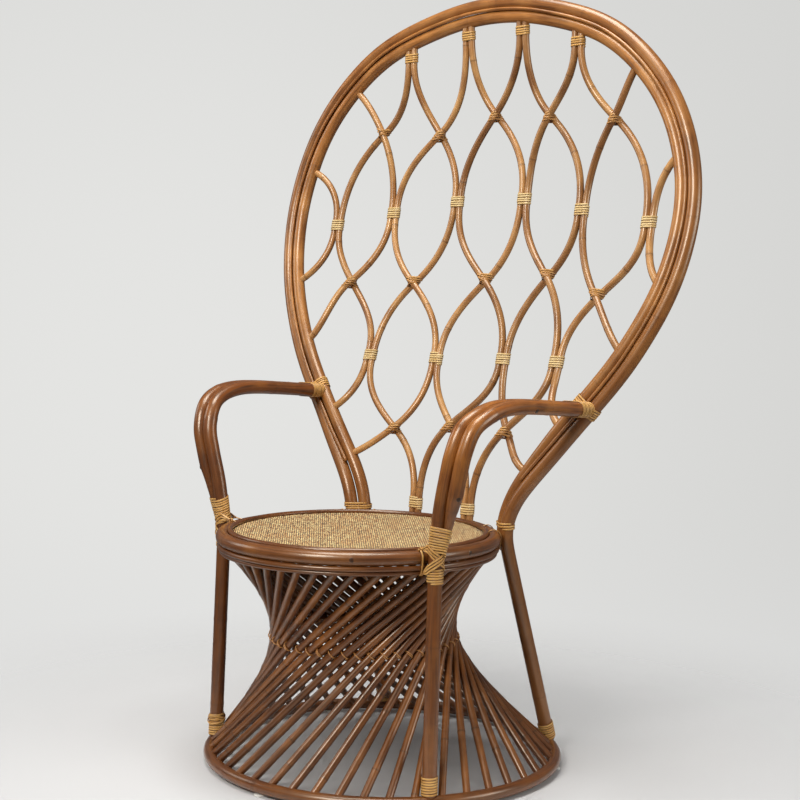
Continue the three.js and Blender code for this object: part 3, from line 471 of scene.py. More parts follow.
def dish_at(height):
    """Depth of the lattice behind the hoop, eased from one given height to the next."""
    i = np.clip(np.searchsorted(DISH_SHARES[:, 0], height), 1, len(DISH_SHARES) - 1)
    low, high = DISH_SHARES[i - 1], DISH_SHARES[i]
    share = low[..., 1] + (high[..., 1] - low[..., 1]) * smooth(height, low[..., 0], high[..., 0])
    return DISH_DEPTH * share


def on_back(x, z):
    """The surface the lattice lies on: the hoop's depth plus a parabola across the width."""
    hoop = at_height(RIGHT_HOOP, z)
    reach = np.minimum(np.abs(x) / (hoop[..., 0] - 2 * PAIR_HALF), 1)
    depth = hoop[..., 1] + dish_at((z - SEAT_HEIGHT) / BACK_HEIGHT) * (1 - reach**2)
    return np.stack([x + 0 * z, depth, z + 0 * x], -1)


def face_of_back(x, z):
    """The way the back faces there, towards the sitter."""
    h = LATTICE_TUBE
    return unit(np.cross(on_back(x + h, z) - on_back(x - h, z), on_back(x, z + h) - on_back(x, z - h)))


def place(share):
    """Millimetres from shares of the back's width and height."""
    return share[0] * BACK_HALF_WIDTH, SEAT_HEIGHT + share[1] * BACK_HEIGHT


def leaning(x, z, lean):
    """The way down the back that leans by so many degrees."""
    sideways, down = (LATTICE_TUBE * turn(math.radians(lean)) for turn in (math.sin, math.cos))
    return unit(on_back(x + sideways, z - down) - on_back(x - sideways, z + down))


def pair_stop(share, side, length, head=0.0, foot=0.0):
    """Where a cane runs beside its neighbour: a short straight stretch between two points."""
    x, z = place(share)
    along = unit(on_back(x, z + length / 2) - on_back(x, z - length / 2))
    middle = on_back(x, z) + (side * PAIR_STEP, 0, 0)
    return [middle + along * (length / 2 + head), middle - along * (length / 2 + foot)], -along


def cross_stop(crossing, layer, side):
    """Where a cane crosses another, in front of it or behind it."""
    x, z = place(crossing)
    spot = on_back(x, z) + face_of_back(x, z) * layer * CROSS_STEP
    return [spot], leaning(x, z, crossing[2] if side > 0 else crossing[3])


def hoop_stop(end, side):
    """Where a cane dies into the hoop's inner pole."""
    spot = at_height(RIGHT_INNER, SEAT_HEIGHT + end[0] * BACK_HEIGHT) * (side, 1, 1)
    return [spot], leaning(spot[0], spot[2], end[1])


def lattice_line(stops):
    """Straight stretches at the bands, joined by cubic bends whose handles reach a third of the way."""
    line = list(stops[0][0])
    for (ends, way), (next_ends, next_way) in zip(stops, stops[1:]):
        a, d = ends[-1], next_ends[0]
        chord = d - a
        b = a + way * (chord @ chord) / 3 / (way @ chord)
        c = d - next_way * (chord @ chord) / 3 / (next_way @ chord)
        t = np.linspace(0, 1, 41)[1:, None]
        line += list((1 - t)**3 * a + 3 * t * (1 - t)**2 * b + 3 * t**2 * (1 - t) * c + t**3 * d)
        line += next_ends[1:]
    return np.array(line)


def winding_length(turns):
    """How far a winding of the solids reaches along its poles."""
    return turns * SOLID_PITCH + SOLID_STRIP


def lattice_lines():
    """The twelve canes from left to right, each from its head down: T, W, V and B are bands, row by row from
    the crown, and X, Y and Z are crossings."""
    def bands(row, length, **ends):
        return {(i, side): pair_stop(share, side, length, **ends)
                for i, share in enumerate(row) for side in (LEFT, RIGHT)}

    def crossings(row):
        return lambda i, layer, side: cross_stop(row[i], layer, side)

    T = bands(TOP_BANDS, winding_length(3), head=CANE_HEAD)
    W = bands(HIGH_BANDS, winding_length(4))
    V = bands(LOW_BANDS, winding_length(4))
    B = bands(SEAT_BANDS, winding_length(4), foot=CANE_FOOT)
    X, Y, Z = crossings(HIGH_CROSSINGS), crossings(MIDDLE_CROSSINGS), crossings(LOW_CROSSINGS)
    left = [hoop_stop(end, LEFT) for end in LEFT_ENDS]
    right = [hoop_stop(end, RIGHT) for end in RIGHT_ENDS]
    canes = [
        [left[1], W[0, LEFT], left[2]],
        [left[0], X(0, FRONT, RIGHT), W[1, LEFT], Y(0, FRONT, LEFT), left[3]],
        [T[0, LEFT], X(0, BEHIND, LEFT), W[0, RIGHT], Y(0, BEHIND, RIGHT), V[0, LEFT], left[4]],
        [T[0, RIGHT], X(1, BEHIND, RIGHT), W[2, LEFT], Y(1, BEHIND, LEFT), V[0, RIGHT], Z(0, BEHIND, RIGHT),
         B[0, LEFT]],
        [T[1, LEFT], X(1, FRONT, LEFT), W[1, RIGHT], Y(1, FRONT, RIGHT), V[1, LEFT], Z(0, FRONT, LEFT),
         left[5]],
        [T[1, RIGHT], X(2, BEHIND, RIGHT), W[3, LEFT], Y(2, BEHIND, LEFT), V[1, RIGHT], Z(1, BEHIND, RIGHT),
         B[1, LEFT]],
        [T[2, LEFT], X(2, FRONT, LEFT), W[2, RIGHT], Y(2, FRONT, RIGHT), V[2, LEFT], Z(1, FRONT, LEFT),
         B[0, RIGHT]],
        [T[2, RIGHT], X(3, BEHIND, RIGHT), W[4, LEFT], Y(3, BEHIND, LEFT), V[2, RIGHT], Z(2, BEHIND, RIGHT),
         right[5]],
        [T[3, LEFT], X(3, FRONT, LEFT), W[3, RIGHT], Y(3, FRONT, RIGHT), V[3, LEFT], Z(2, FRONT, LEFT),
         B[1, RIGHT]],
        [T[3, RIGHT], X(4, BEHIND, RIGHT), W[5, LEFT], Y(4, BEHIND, LEFT), V[3, RIGHT], right[4]],
        [right[0], X(4, FRONT, LEFT), W[4, RIGHT], Y(4, FRONT, RIGHT), right[3]],
        [right[1], W[5, RIGHT], right[2]],
    ]
    return [lattice_line(stops) for stops in canes]


# Skins: points, faces and the straightened position along the pole that the finishes follow

def carry(path, side, profile, closed=False, tone=0.0, knots=None):
    """Carries a closed profile along a path: point = path + a * side + b * across, where across is square
    to the path and to side, and (a, b) runs round the profile. Open ends get a fan round a middle point."""
    way = tangents(path, closed)
    side = square_to(side + 0 * path, way)
    across = np.cross(way, side)
    profile = np.broadcast_to(profile, (len(path),) + profile.shape[-2:])
    points = path[:, None] + profile[..., :1] * side[:, None] + profile[..., 1:] * across[:, None]
    rings, sides = points.shape[:2]
    along = lengths(path)
    grain = np.concatenate([profile, np.broadcast_to(along[:, None, None], (rings, sides, 1))], -1)
    i = np.arange(rings if closed else rings - 1)[:, None]
    j = np.arange(sides)[None]
    k, ahead = (j + 1) % sides, (i + 1) % rings
    quads = np.stack([i * sides + j, i * sides + k, ahead * sides + k, ahead * sides + j], -1).reshape(-1, 4)
    points, grain, tris = points.reshape(-1, 3), grain.reshape(-1, 3), np.zeros((0, 3), int)
    at = np.repeat(along, sides)
    if not closed:
        first, last = len(points), len(points) + 1
        end = (rings - 1) * sides
        j = np.arange(sides)
        k = (j + 1) % sides
        tris = np.concatenate([np.stack([0 * j + first, k, j], -1),
                               np.stack([0 * j + last, end + j, end + k], -1)])
        points = np.vstack([points, path[[0, -1]]])
        grain = np.vstack([grain, [[0, 0, along[0]], [0, 0, along[-1]]]])
        at = np.append(at, along[[0, -1]])
    knot = at * 0 - 0.5 if knots is None else np.interp(at, knots, np.arange(len(knots)))
    return {"points": points, "quads": quads, "tris": tris, "grain": grain, "knot": knot,
            "tone": np.full(len(points), tone)}


def round_section(sides):
    turn = np.arange(sides) / sides * FULL
    return np.stack([np.cos(turn), np.sin(turn)], -1)


def knots_along(length, spacing, rng, closed=False):
    """Places of the growth rings along a pole: an uneven spacing, run on past both ends."""
    steps = spacing * rng.uniform(0.72, 1.28, int(length / spacing) + 4)
    places = np.cumsum(steps) - spacing * rng.uniform(0.3, 1.0)
    if closed:
        places = places[: max(int(length / spacing), 1)]
        places = places * length / (places[-1] + spacing * 0.5)
        return np.concatenate([[places[-1] - length], places, [places[0] + length]])
    return np.concatenate([[places[0] - spacing], places, [places[-1] + spacing]])


# How far a growth ring swells a pole each way, how much a pole's radius wanders, and how its ends are rounded
RING_REACH = 3.6
POLE_WANDER = 0.012
END_ROUNDING = 0.84

# A strip of cane skin as shares of its width and thickness: flat beneath, crowned on top, with soft edges
STRIP_PROFILE = np.array([(-0.5, 0), (0.5, 0), (0.49, 0.45), (0.4, 0.8), (0.2, 0.96), (0, 1), (-0.2, 0.96),
                          (-0.4, 0.8), (-0.49, 0.45)])
STRIP_END = 0.5


def pole(path, radius, side, rng, spacing, sides=20, step=4.0, swell=0.035, closed=False, tone=None):
    """A rattan pole: a round section whose radius swells at the growth rings, in a bell shape, and wanders
    by the sum of three waves."""
    line = stepped(path, step)
    s = lengths(line)
    radius = np.interp(s / s[-1], np.linspace(0, 1, np.size(radius)), np.atleast_1d(radius))
    knots = knots_along(s[-1], spacing, rng, closed)
    if closed:
        line, radius, s = line[:-1], radius[:-1], s[:-1]
    away = np.min(np.abs(s[:, None] - knots[None]), axis=1)
    cycles = np.array([3, 5, 9]) if closed else np.array([2.3, 4.9, 8.7])
    total = s[-1] + (step if closed else 0)
    phase = rng.uniform(0, FULL, 3)
    wander = np.sum(np.sin(s[:, None] / total * FULL * cycles + phase), axis=1) / 3
    radius = radius * (1 + swell * np.exp(-((away / RING_REACH) ** 2)) + POLE_WANDER * wander)
    if not closed:
        radius[[0, -1]] *= END_ROUNDING
    section = round_section(sides)[None] * radius[:, None, None]
    tone = rng.uniform(-1, 1) if tone is None else tone
    return carry(line, side, section, closed, tone, knots)


def level_hoop(radius, tube, setback, height, rng, spacing, sides=20):
    """A pole bent to a level circle."""
    line = on_circle(radius, np.linspace(0, FULL, 721), setback, height)
    return pole(line, tube, UP, rng, spacing, sides, closed=True)


def strip(line, outward, width, thickness, tone=0.0):
    """A strip laid along a line on a surface, its crown towards outward, its two ends thinned and sunk."""
    number = np.arange(len(line))
    fade = np.minimum(1, np.minimum(number, number[::-1]) / 4 * (1 - STRIP_END) + STRIP_END)
    section = STRIP_PROFILE[None] * (width, thickness) * fade[:, None, None]
    return carry(line, np.cross(outward, tangents(line)), section, tone=tone)


def wound_line(start, along, side, sections, turns, pitch, first, per_turn=40, wobble=None, slant=0.0):
    """A helix drawn tight round ovals that lie side by side. At the turn angle it touches the oval that
    reaches furthest that way: centre + (rx² cos, ry² sin) / sqrt((rx cos)² + (ry sin)²). A slant moves
    the strip along by slant * sin(angle), so that the loops fall to one side."""
    across = np.cross(along, side)
    turn = np.linspace(0, FULL * turns, int(per_turn * 3 * turns) + 1)
    drift = 0 if wobble is None else wobble[0] * np.sin(turn / FULL * wobble[1] + wobble[2])
    distance = pitch * turn / FULL + drift + slant * np.sin(turn + first)
    ox, oy, rx, ry = np.moveaxis(np.asarray(sections(distance)), -1, 0)
    c, s = np.cos(turn + first)[:, None], np.sin(turn + first)[:, None]
    reach = np.hypot(rx * c, ry * s)
    best = np.argmax(ox * c + oy * s + reach, axis=1)[:, None]
    x = np.take_along_axis(ox + rx**2 * c / reach, best, 1)
    y = np.take_along_axis(oy + ry**2 * s / reach, best, 1)
    points = start + along * distance[:, None] + side * x + across * y
    outward = side * c + across * s
    both = even(np.hstack([points, outward]), int(per_turn * turns) + 1)
    return both[:, :3], square_to(unit(both[:, 3:]), tangents(both[:, :3]))


def ovals(*items):
    """Sections that stay the same along a winding: offset sideways, offset across, and one radius or two."""
    items = np.array([(*item, item[-1]) if len(item) == 3 else item for item in items], float)
    return lambda distance: np.broadcast_to(items, (len(distance), *items.shape))


# Meshes

def merged(skins):
    """One skin from many, their faces counted on."""
    start = np.concatenate([[0], np.cumsum([len(skin["points"]) for skin in skins])])[:-1]
    result = {key: np.concatenate([skin[key] for skin in skins])
              for key in ("points", "grain", "knot", "tone")}
    for key in ("quads", "tris"):
        result[key] = np.concatenate([skin[key] + n for skin, n in zip(skins, start)])
    return result


def make_piece(name, skins, look, *nodes):
    """Puts skins into one mesh with a finish, rides it on the chair and takes the place of CAD nodes."""
    skin = merged(skins)
    mesh = bpy.data.meshes.new(name)
    count, quads, tris = len(skin["points"]), skin["quads"], skin["tris"]
    loops = np.concatenate([quads.ravel(), tris.ravel()])
    starts = np.concatenate([np.arange(len(quads)) * 4, len(quads) * 4 + np.arange(len(tris)) * 3])
    mesh.vertices.add(count)
    mesh.loops.add(len(loops))
    mesh.polygons.add(len(starts))
    mesh.vertices.foreach_set("co", ((skin["points"] + (0, SEAT_SETBACK, 0)) * MM).ravel())
    mesh.loops.foreach_set("vertex_index", loops.astype(np.int32))
    mesh.polygons.foreach_set("loop_start", starts.astype(np.int32))
    mesh.update(calc_edges=True)
    if mesh.validate():
        raise RuntimeError(f"{name} has faces that can't be used")
    mesh.shade_smooth()
    grain = mesh.attributes.new("grain", "FLOAT_VECTOR", "POINT")
    grain.data.foreach_set("vector", (skin["grain"] * MM).ravel())
    for key in ("knot", "tone"):
        mesh.attributes.new(key, "FLOAT", "POINT").data.foreach_set("value", skin[key].ravel())
    material, slot = finish(look)
    mesh.materials.append(material)
    piece = bpy.data.objects.new(name, mesh)
    bpy.context.scene.collection.objects.link(piece)
    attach(piece, "root")
    if nodes:
        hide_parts(*nodes)


# Finishes

def linear(value):
    """An sRGB hex colour as linear RGBA."""
    parts = np.array([int(value[i:i + 2], 16) for i in (1, 3, 5)]) / 255
    parts = np.where(parts <= 0.04045, parts / 12.92, ((parts + 0.055) / 1.055) ** 2.4)
    return (*parts.tolist(), 1.0)


def feed(tree, node, inputs):
    """Sets a node's inputs, each to a plain value or to the socket that feeds it."""
    for socket, value in inputs.items():
        if isinstance(value, bpy.types.NodeSocket):
            tree.links.new(value, node.inputs[socket])
        else:
            node.inputs[socket].default_value = value


def add_node(tree, kind, inputs=None, output=0, **settings):
    """Adds a node with its settings and inputs, and gives back one of its outputs."""
    node = tree.nodes.new(kind)
    for key, value in settings.items():
        setattr(node, key, value)
    feed(tree, node, inputs or {})
    return node.outputs[output] if node.outputs else None


def laid_over(tree, under, over, pattern, low, high, least=0.0, most=1.0):
    """One colour over another: from least to most of it as a pattern rises from low to high."""
    amount = add_node(tree, "ShaderNodeMapRange", {0: pattern, 1: low, 2: high, 3: least, 4: most},
                      interpolation_type="SMOOTHSTEP")
    return add_node(tree, "ShaderNodeMix", {0: amount, 6: under, 7: over}, 2, data_type="RGBA")


def grains(tree, source, size, stretch=1.0, detail=3.0, roughness=0.5):
    """Noise with grains of a real size in metres, drawn out so many times along the pole, or of a size for
    each axis."""
    sizes = size if isinstance(size, tuple) else (size, size, size * stretch)
    scaled = add_node(tree, "ShaderNodeMapping",
                      {"Vector": source, "Scale": tuple(1 / side for side in sizes)})
    return add_node(tree, "ShaderNodeTexNoise",
                    {"Vector": scaled, "Scale": 1.0, "Detail": detail, "Roughness": roughness}, "Fac")


def new_finish(name):
    """A new material, its nodes, and the shader that the finish feeds."""
    material = bpy.data.materials.new(name)
    material.use_nodes = True
    tree = material.node_tree
    return material, tree, tree.nodes["Principled BSDF"]


def surfaced(tree, shader, colour, pattern, smoothest, roughest, more):
    """Gives a finish its colour, a roughness that follows a pattern, and what else its shader takes."""
    rough = add_node(tree, "ShaderNodeMapRange", {0: pattern, 1: 0.3, 2: 0.7, 3: smoothest, 4: roughest},
                     interpolation_type="SMOOTHSTEP")
    feed(tree, shader, {"Base Color": colour, "Roughness": rough, **more})


def rattan(name, light, middle, dark, ring, spacing, darker_low=(0.0, 0.1, 0.0), streak=0.0011, streaked=0.28,
           ringed_by=0.16):
    """Varnished rattan skin: fibres that run along the pole, soft blotches of stain, a dark growth ring
    every so often, and a clear coat that catches the light. The tuple after the ring spacing says where
    the colour is darkest low down, where the darkening ends, in metres, and how strong it is."""
    material, tree, shader = new_finish(name)
    place_of = add_node(tree, "ShaderNodeTexCoord", output="Object")
    grain, knot, tone = (add_node(tree, "ShaderNodeAttribute", output=output, attribute_name=key)
                         for key, output in (("grain", "Vector"), ("knot", "Fac"), ("tone", "Fac")))
    spacing = getattr(bpy.context.scene.rattan_sizes, spacing)

    fibres = grains(tree, grain, streak, 45, 4, 0.6)
    shade = laid_over(tree, dark, middle, grains(tree, grain, 0.0045, 20), 0.28, 0.62)
    shade = laid_over(tree, shade, light, grains(tree, place_of, 0.06), 0.36, 0.74, most=0.85)
    # Each pole's tone: random on most poles, painted shade or painted light on the arms
    toned = laid_over(tree, linear("#cfc5bb"), linear("#ffffff"), tone, -1, 1)
    shade = add_node(tree, "ShaderNodeMix", {0: 1.0, 6: shade, 7: toned}, 2, data_type="RGBA",
                     blend_type="MULTIPLY")
    shade = laid_over(tree, shade, dark, fibres, 0.46, 0.7, most=streaked)
    height = add_node(tree, "ShaderNodeSeparateXYZ", {0: place_of}, 2)
    # Darker towards the bottom: by the given strength below the lower height, not at all above the higher one
    shade = laid_over(tree, shade, dark, height, *darker_low, most=0.0)
    shade = laid_over(tree, shade, ring, grains(tree, grain, 0.0016, 3, 2), 0.68, 0.78, most=0.3)

    # Distance from the nearest growth ring, as a share of the spacing between rings, its edge a little ragged
    away = add_node(tree, "ShaderNodeMath", {0: knot, 1: 0.5}, operation="PINGPONG")
    ragged = add_node(tree, "ShaderNodeMath", {0: fibres, 1: 0.006, 2: -0.003}, operation="MULTIPLY_ADD")
    away = add_node(tree, "ShaderNodeMath", {0: away, 1: ragged}, operation="ADD")
    line, edge, halo = 0.0008 / spacing, 0.0022 / spacing, 0.007 / spacing
    shade = laid_over(tree, shade, dark, away, 0.001 / spacing, halo, 0.3 * ringed_by, 0.0)
    shade = laid_over(tree, shade, ring, away, line, edge, ringed_by, 0.0)
    groove = add_node(tree, "ShaderNodeMapRange", {0: away, 1: line, 2: edge, 3: -1.0, 4: 0.0},
                      interpolation_type="SMOOTHSTEP")
    relief = add_node(tree, "ShaderNodeMath", {0: fibres, 1: 0.6, 2: groove}, operation="MULTIPLY_ADD")
    bump = add_node(tree, "ShaderNodeBump", {"Height": relief, "Strength": 0.12, "Distance": 0.0004})
    surfaced(tree, shader, shade, fibres, 0.28, 0.44, {
        "Normal": bump, "Specular IOR Level": 0.85, "Specular Tint": linear("#fff0d8"), "Coat Weight": 0.3,
        "Coat Roughness": 0.16})
    return material


def cane_strip(name, light, middle, dark):
    """Strips of split cane skin, left natural under the varnish: fine fibres along the strip, a paler or
    darker tone from loop to loop, and painted shade at the edges, where one loop meets the next."""
    material, tree, shader = new_finish(name)
    grain, tone = (add_node(tree, "ShaderNodeAttribute", output=output, attribute_name=key)
                   for key, output in (("grain", "Vector"), ("tone", "Fac")))
    fibres = grains(tree, grain, 0.0006, 60)
    shade = laid_over(tree, middle, light, grains(tree, grain, 0.004, 7), 0.32, 0.68)
    shade = laid_over(tree, shade, dark, fibres, 0.45, 0.75, most=0.55)
    shade = laid_over(tree, shade, dark, tone, 0.2, 1.0, most=0.55)
    # Painted shade: each strip darkens towards its edges
    aside = add_node(tree, "ShaderNodeSeparateXYZ", {0: grain}, 0)
    edge = add_node(tree, "ShaderNodeMath", {0: aside}, operation="ABSOLUTE")
    shade = laid_over(tree, shade, dark, edge, 0.0010, 0.0021, most=0.85)
    bump = add_node(tree, "ShaderNodeBump", {"Height": fibres, "Strength": 0.4, "Distance": 0.0003})
    surfaced(tree, shader, shade, fibres, 0.38, 0.56,
             {"Normal": bump, "Coat Weight": 0.15, "Coat Roughness": 0.3})
    return material


def woven_seat(name, light, dark, warm, shadow):
    """Hand-twisted straw cord in a plain weave of one over and one under: golden cord about 4 mm apart,
    painted shade in the gaps where four cords meet and in dark specks, and a tone that changes from cord to
    cord."""
    material, tree, shader = new_finish(name)
    place_of = add_node(tree, "ShaderNodeTexCoord", output="Object")
    sizes = bpy.context.scene.rattan_sizes
    # From the seat's middle, turned to the cords and counted in cords, whose lines wander by a fifth of one
    turned = add_node(tree, "ShaderNodeMapping", {
        "Vector": place_of, "Location": (0, SEAT_SETBACK * MM, 0), "Rotation": (0, 0, sizes.weave_turn),
        "Scale": (sizes.weave_pitch, sizes.weave_run, 1)}, vector_type="TEXTURE")
    wander = add_node(tree, "ShaderNodeTexNoise", {"Vector": turned, "Scale": 0.35, "Detail": 2.0}, "Color")
    wander = add_node(tree, "ShaderNodeVectorMath", {0: wander, 1: (0.5, 0.5, 0.5)}, operation="SUBTRACT")
    grid = add_node(tree, "ShaderNodeVectorMath", {0: wander, 1: (0.2, 0.2, 0.2), 2: turned},
                    operation="MULTIPLY_ADD")
    waves = []
    for axis in (0, 1):
        count = add_node(tree, "ShaderNodeSeparateXYZ", {0: grid}, axis)
        angle = add_node(tree, "ShaderNodeMath", {0: count, 1: math.pi}, operation="MULTIPLY")
        waves.append(add_node(tree, "ShaderNodeMath", {0: angle}, operation="COSINE"))
    over = add_node(tree, "ShaderNodeMath", {0: waves[0], 1: waves[1]}, operation="MULTIPLY")

    # The fibres of a cord are four cords long and a few to its width; each loop also has its own tone
    across = add_node(tree, "ShaderNodeMapRange", {0: over, 1: -0.25, 2: 0.25, 3: 0.0, 4: 1.0},
                      interpolation_type="SMOOTHSTEP")
    fibres = add_node(tree, "ShaderNodeMix", {0: across, 2: grains(tree, grid, (4.0, 1 / 2.6, 1.0)),
                                              3: grains(tree, grid, (1 / 2.6, 4.0, 1.0))}, data_type="FLOAT")
    counted = add_node(tree, "ShaderNodeVectorMath", {0: grid}, operation="FLOOR")
    loop = add_node(tree, "ShaderNodeTexWhiteNoise", {"Vector": counted}, "Value")
    loop = add_node(tree, "ShaderNodeMath", {0: loop, 1: 0.35}, operation="MULTIPLY")
    tone = add_node(tree, "ShaderNodeMath", {0: fibres, 1: 0.65, 2: loop}, operation="MULTIPLY_ADD")
    shade = laid_over(tree, dark, light, tone, 0.24, 0.76)
    shade = laid_over(tree, shade, warm, grains(tree, place_of, 0.05, detail=4), 0.35, 0.75, most=0.5)
    # Painted shade: dark where four cords meet, and dark specks along the grid of cords
    gap = add_node(tree, "ShaderNodeMath", {0: over}, operation="ABSOLUTE")
    shade = laid_over(tree, shade, shadow, gap, 0.1, 0.62, 0.95, 0.0)
    hollow_shade = grains(tree, grid, (1.0, 2.0, 1.0), detail=1)
    shade = laid_over(tree, shade, shadow, hollow_shade, 0.58, 0.68, most=0.55)
    relief = add_node(tree, "ShaderNodeMath", {0: tone, 1: 0.4, 2: gap}, operation="MULTIPLY_ADD")
    bump = add_node(tree, "ShaderNodeBump", {"Height": relief, "Strength": 0.6, "Distance": 0.0006})
    surfaced(tree, shader, shade, tone, 0.5, 0.7, {"Normal": bump, "Sheen Weight": 0.1})
    return material


def moulded_plastic(name, colour):
    """Moulded nylon glide: off-white, satin, a little scuffed where it slides."""
    material, tree, shader = new_finish(name)
    place_of = add_node(tree, "ShaderNodeTexCoord", output="Object")
    scuffs = grains(tree, place_of, 0.002, detail=4)
    shade = laid_over(tree, colour, linear("#8d8a84"), scuffs, 0.4, 0.75, most=0.4)
    surfaced(tree, shader, shade, scuffs, 0.35, 0.6, {})
    return material


# Each finish: what makes it, its name, its slot in the record, its colours, and what else it takes
FINISHES = {
    # Thick poles in a deep brown stain, darkest low down, with broad streaks
    "stained_pole": (rattan, "stained_varnished_rattan_pole", "dark_pole",
                     "pole_light pole_middle pole_dark ring",
                     {"spacing": "pole_ring_spacing", "darker_low": (0.5, 0.68, 0.55), "streak": 0.0017,
                      "streaked": 0.6}),
    # The back hoop's poles, honey brown and darker towards the seat
    "golden_pole": (rattan, "honey_varnished_rattan_pole", "golden_pole",
                    "hoop_light hoop_middle hoop_dark ring",
                    {"spacing": "pole_ring_spacing", "darker_low": (0.6, 0.95, 0.6), "streak": 0.0017,
                     "streaked": 0.55}),
    # Thin canes, lighter and more even, with clear growth rings
    "lattice_cane": (rattan, "honey_varnished_rattan_cane", "golden_cane",
                     "cane_light cane_middle cane_dark ring",
                     {"spacing": "cane_ring_spacing", "ringed_by": 0.4}),
    # The base's canes, the darkest stain on the chair
    "cage_cane": (rattan, "stained_rattan_cage_cane", "dark_cane", "cage_light cage_middle cage_dark ring",
                  {"spacing": "cage_ring_spacing", "ringed_by": 0.45}),
    # Almost black pegs and a nail's head
    "peg": (rattan, "dark_stained_wooden_peg", "dark_pole", "pole_dark ring ring ring",
            {"spacing": "pole_ring_spacing"}),
    # Bright split cane of the windings, paler on the lattice, browner in the thin ties
    "golden_strip": (cane_strip, "golden_split_cane_strip", "golden_strip",
                     "strip_light strip_middle strip_dark", {}),
    "pale_strip": (cane_strip, "pale_split_cane_strip", "pale_strip",
                   "pale_light pale_middle strip_dark", {}),
    "tie_strip": (cane_strip, "orange_split_cane_tie", "golden_strip",
                  "tie_light tie_middle tie_dark", {}),
    "waist_strip": (cane_strip, "brown_split_cane_tie", "golden_strip",
                    "tie_middle cane_middle cage_dark", {}),
    # Golden straw with dark gaps, and satin plastic
    "weave": (woven_seat, "woven_straw_cord_seat", "seat_weave",
              "straw_light straw_dark straw_warm straw_gap", {}),
    "glide": (moulded_plastic, "moulded_nylon_glide", "glide_plastic", "glide", {}),
}
MADE = {}


def finish(look):
    """The material and the slot of a look: a material is made once, when the first piece asks for it."""
    make, name, slot, colours, options = FINISHES[look]
    if look not in MADE:
        own = bpy.context.scene.rattan_colours
        MADE[look] = make(name, *(getattr(own, colour) for colour in colours.split()), **options)
    return MADE[look], slot


# Windings

def band(start, along, side, sections, turns, rng, sizes, pitch=None, slant=0.0):
    """A band of strip wound turn by turn, with a slight unevenness from loop to loop."""
    first = rng.uniform(0, FULL)
    line, outward = wound_line(start, along, side, sections, turns, pitch or sizes.strip_pitch / MM, first,
                               wobble=(0.25, 2.7, rng.uniform(0, FULL)), slant=slant)
    skin = strip(line, outward, sizes.strip_width / MM, sizes.strip_thickness / MM)
    loops = int(turns) + 2
    tones = rng.uniform(*BAND_TONES, loops)
    at = skin["grain"][:, 2] / skin["grain"][:, 2].max() * (loops - 1.001)
    skin["tone"] = tones[np.minimum(at.astype(int), loops - 1)]
    return skin


def pair_band(share, turns, rng, sizes):
    """The band that holds two lattice canes side by side."""
    x, z = place(share)
    length = turns * (sizes.strip_pitch / MM)
    along = unit(on_back(x, z + length / 2) - on_back(x, z - length / 2))
    start = on_back(x, z) - along * length / 2
    grip = LATTICE_TUBE + 0.1
    sections = ovals((-PAIR_STEP, 0, grip), (PAIR_STEP, 0, grip))
    return band(start, along, square_to(SIDEWAYS, along), sections, turns, rng, sizes)


def pole_band(start, along, radius, turns, rng, sizes, flat, slant=0.0):
    """A band round one pole; flat is the way from which its turns are counted."""
    return band(start, along, square_to(flat, along), ovals((0, 0, radius)), turns, rng, sizes, slant=slant)


def strand(points, outward, sizes, tone):
    """A single strip laid through points on the poles, its crown turned outwards."""
    line = bent(points, 8 * len(points))
    s, at = lengths(line), lengths(points)
    turned = np.stack([np.interp(s / s[-1], at / at[-1], outward[:, axis]) for axis in range(3)], -1)
    return strip(line, square_to(unit(turned), tangents(line)), sizes.strip_width / MM,
                 sizes.strip_thickness / MM, tone)


def over_seat_hoop(spots, angle):
    """Places in the seat hoop's own section, as outward and up from its middle, at an angle round the seat;
    and the way outwards from the section's middle at each."""
    way = on_circle(1, angle, 0, 0)
    spots = np.asarray(spots, float)
    points = way * (SEAT_RADIUS + spots[:, :1]) + UP * (SEAT_HEIGHT + spots[:, 1:])
    return points, way * spots[:, :1] + UP * spots[:, 1:]


def hoop_strand(angle, sizes, tone):
    """A strand wound round the seat hoop, from the groove inside it over its face to its underside."""
    points, outward = over_seat_hoop(ROUND_SEAT_HOOP, angle)
    return strand(points, outward, sizes, tone)


def crossed_strands(side, rng, sizes):
    """Strands that hold a front leg to the seat hoop: half of them fall to one side over the leg's face,
    half to the other. From the top of the hoop, round the leg and on under the hoop."""
    spine = arm_and_leg_line()
    spine = spine[np.argsort(spine[:, 2])]
    spine = spine[spine[:, 2] < SEAT_HEIGHT + 90]
    radial = unit(front_leg_at(SEAT_HEIGHT) * LEVEL)
    aside = np.cross(UP, radial)
    middle = at_height(spine, SEAT_HEIGHT) - radial * (SEAT_TUBE + CLEARANCE + LEG_TUBE)
    turn = np.radians(np.linspace(-100, 100, 25))
    out = np.cos(turn)[:, None] * radial + np.sin(turn)[:, None] * aside

    def on_hoop(spots, end):
        """Places in the hoop's section, level with one end of the stretch that lies on the leg."""
        spots = np.array(spots)
        return (middle * LEVEL + radial * spots[:, :1] + aside * (aside @ (end - middle))
                + UP * (SEAT_HEIGHT + spots[:, 1:]))

    skins = []
    for fall, lift in ((1, 0.0), (-1, CROSS_LIFT)):
        for index in range(CROSS_STRANDS):
            shift = (index - (CROSS_STRANDS - 1) / 2) * CROSS_SPREAD
            z = SEAT_HEIGHT + shift - fall * CROSS_FALL * turn / turn[-1]
            beside_hoop = smooth(np.abs(z - SEAT_HEIGHT), 8, 14)
            reach = LEG_TUBE + 0.3 + 1.6 * beside_hoop + lift * np.exp(-(turn / 0.8) ** 2)
            points = (at_height(spine, z) + out * reach[:, None])[::fall]
            head, tail = on_hoop(ROUND_SEAT_HOOP[:3], points[0]), on_hoop(ROUND_SEAT_HOOP[8:], points[-1])
            line = np.vstack([head, points, tail])
            ways = np.vstack([UP + 0 * head, out[::fall], 0 * tail - UP])
            skins.append(strand(on_side(line, side), on_side(ways, side), sizes, rng.uniform(-1, 0.5)))
    return skins


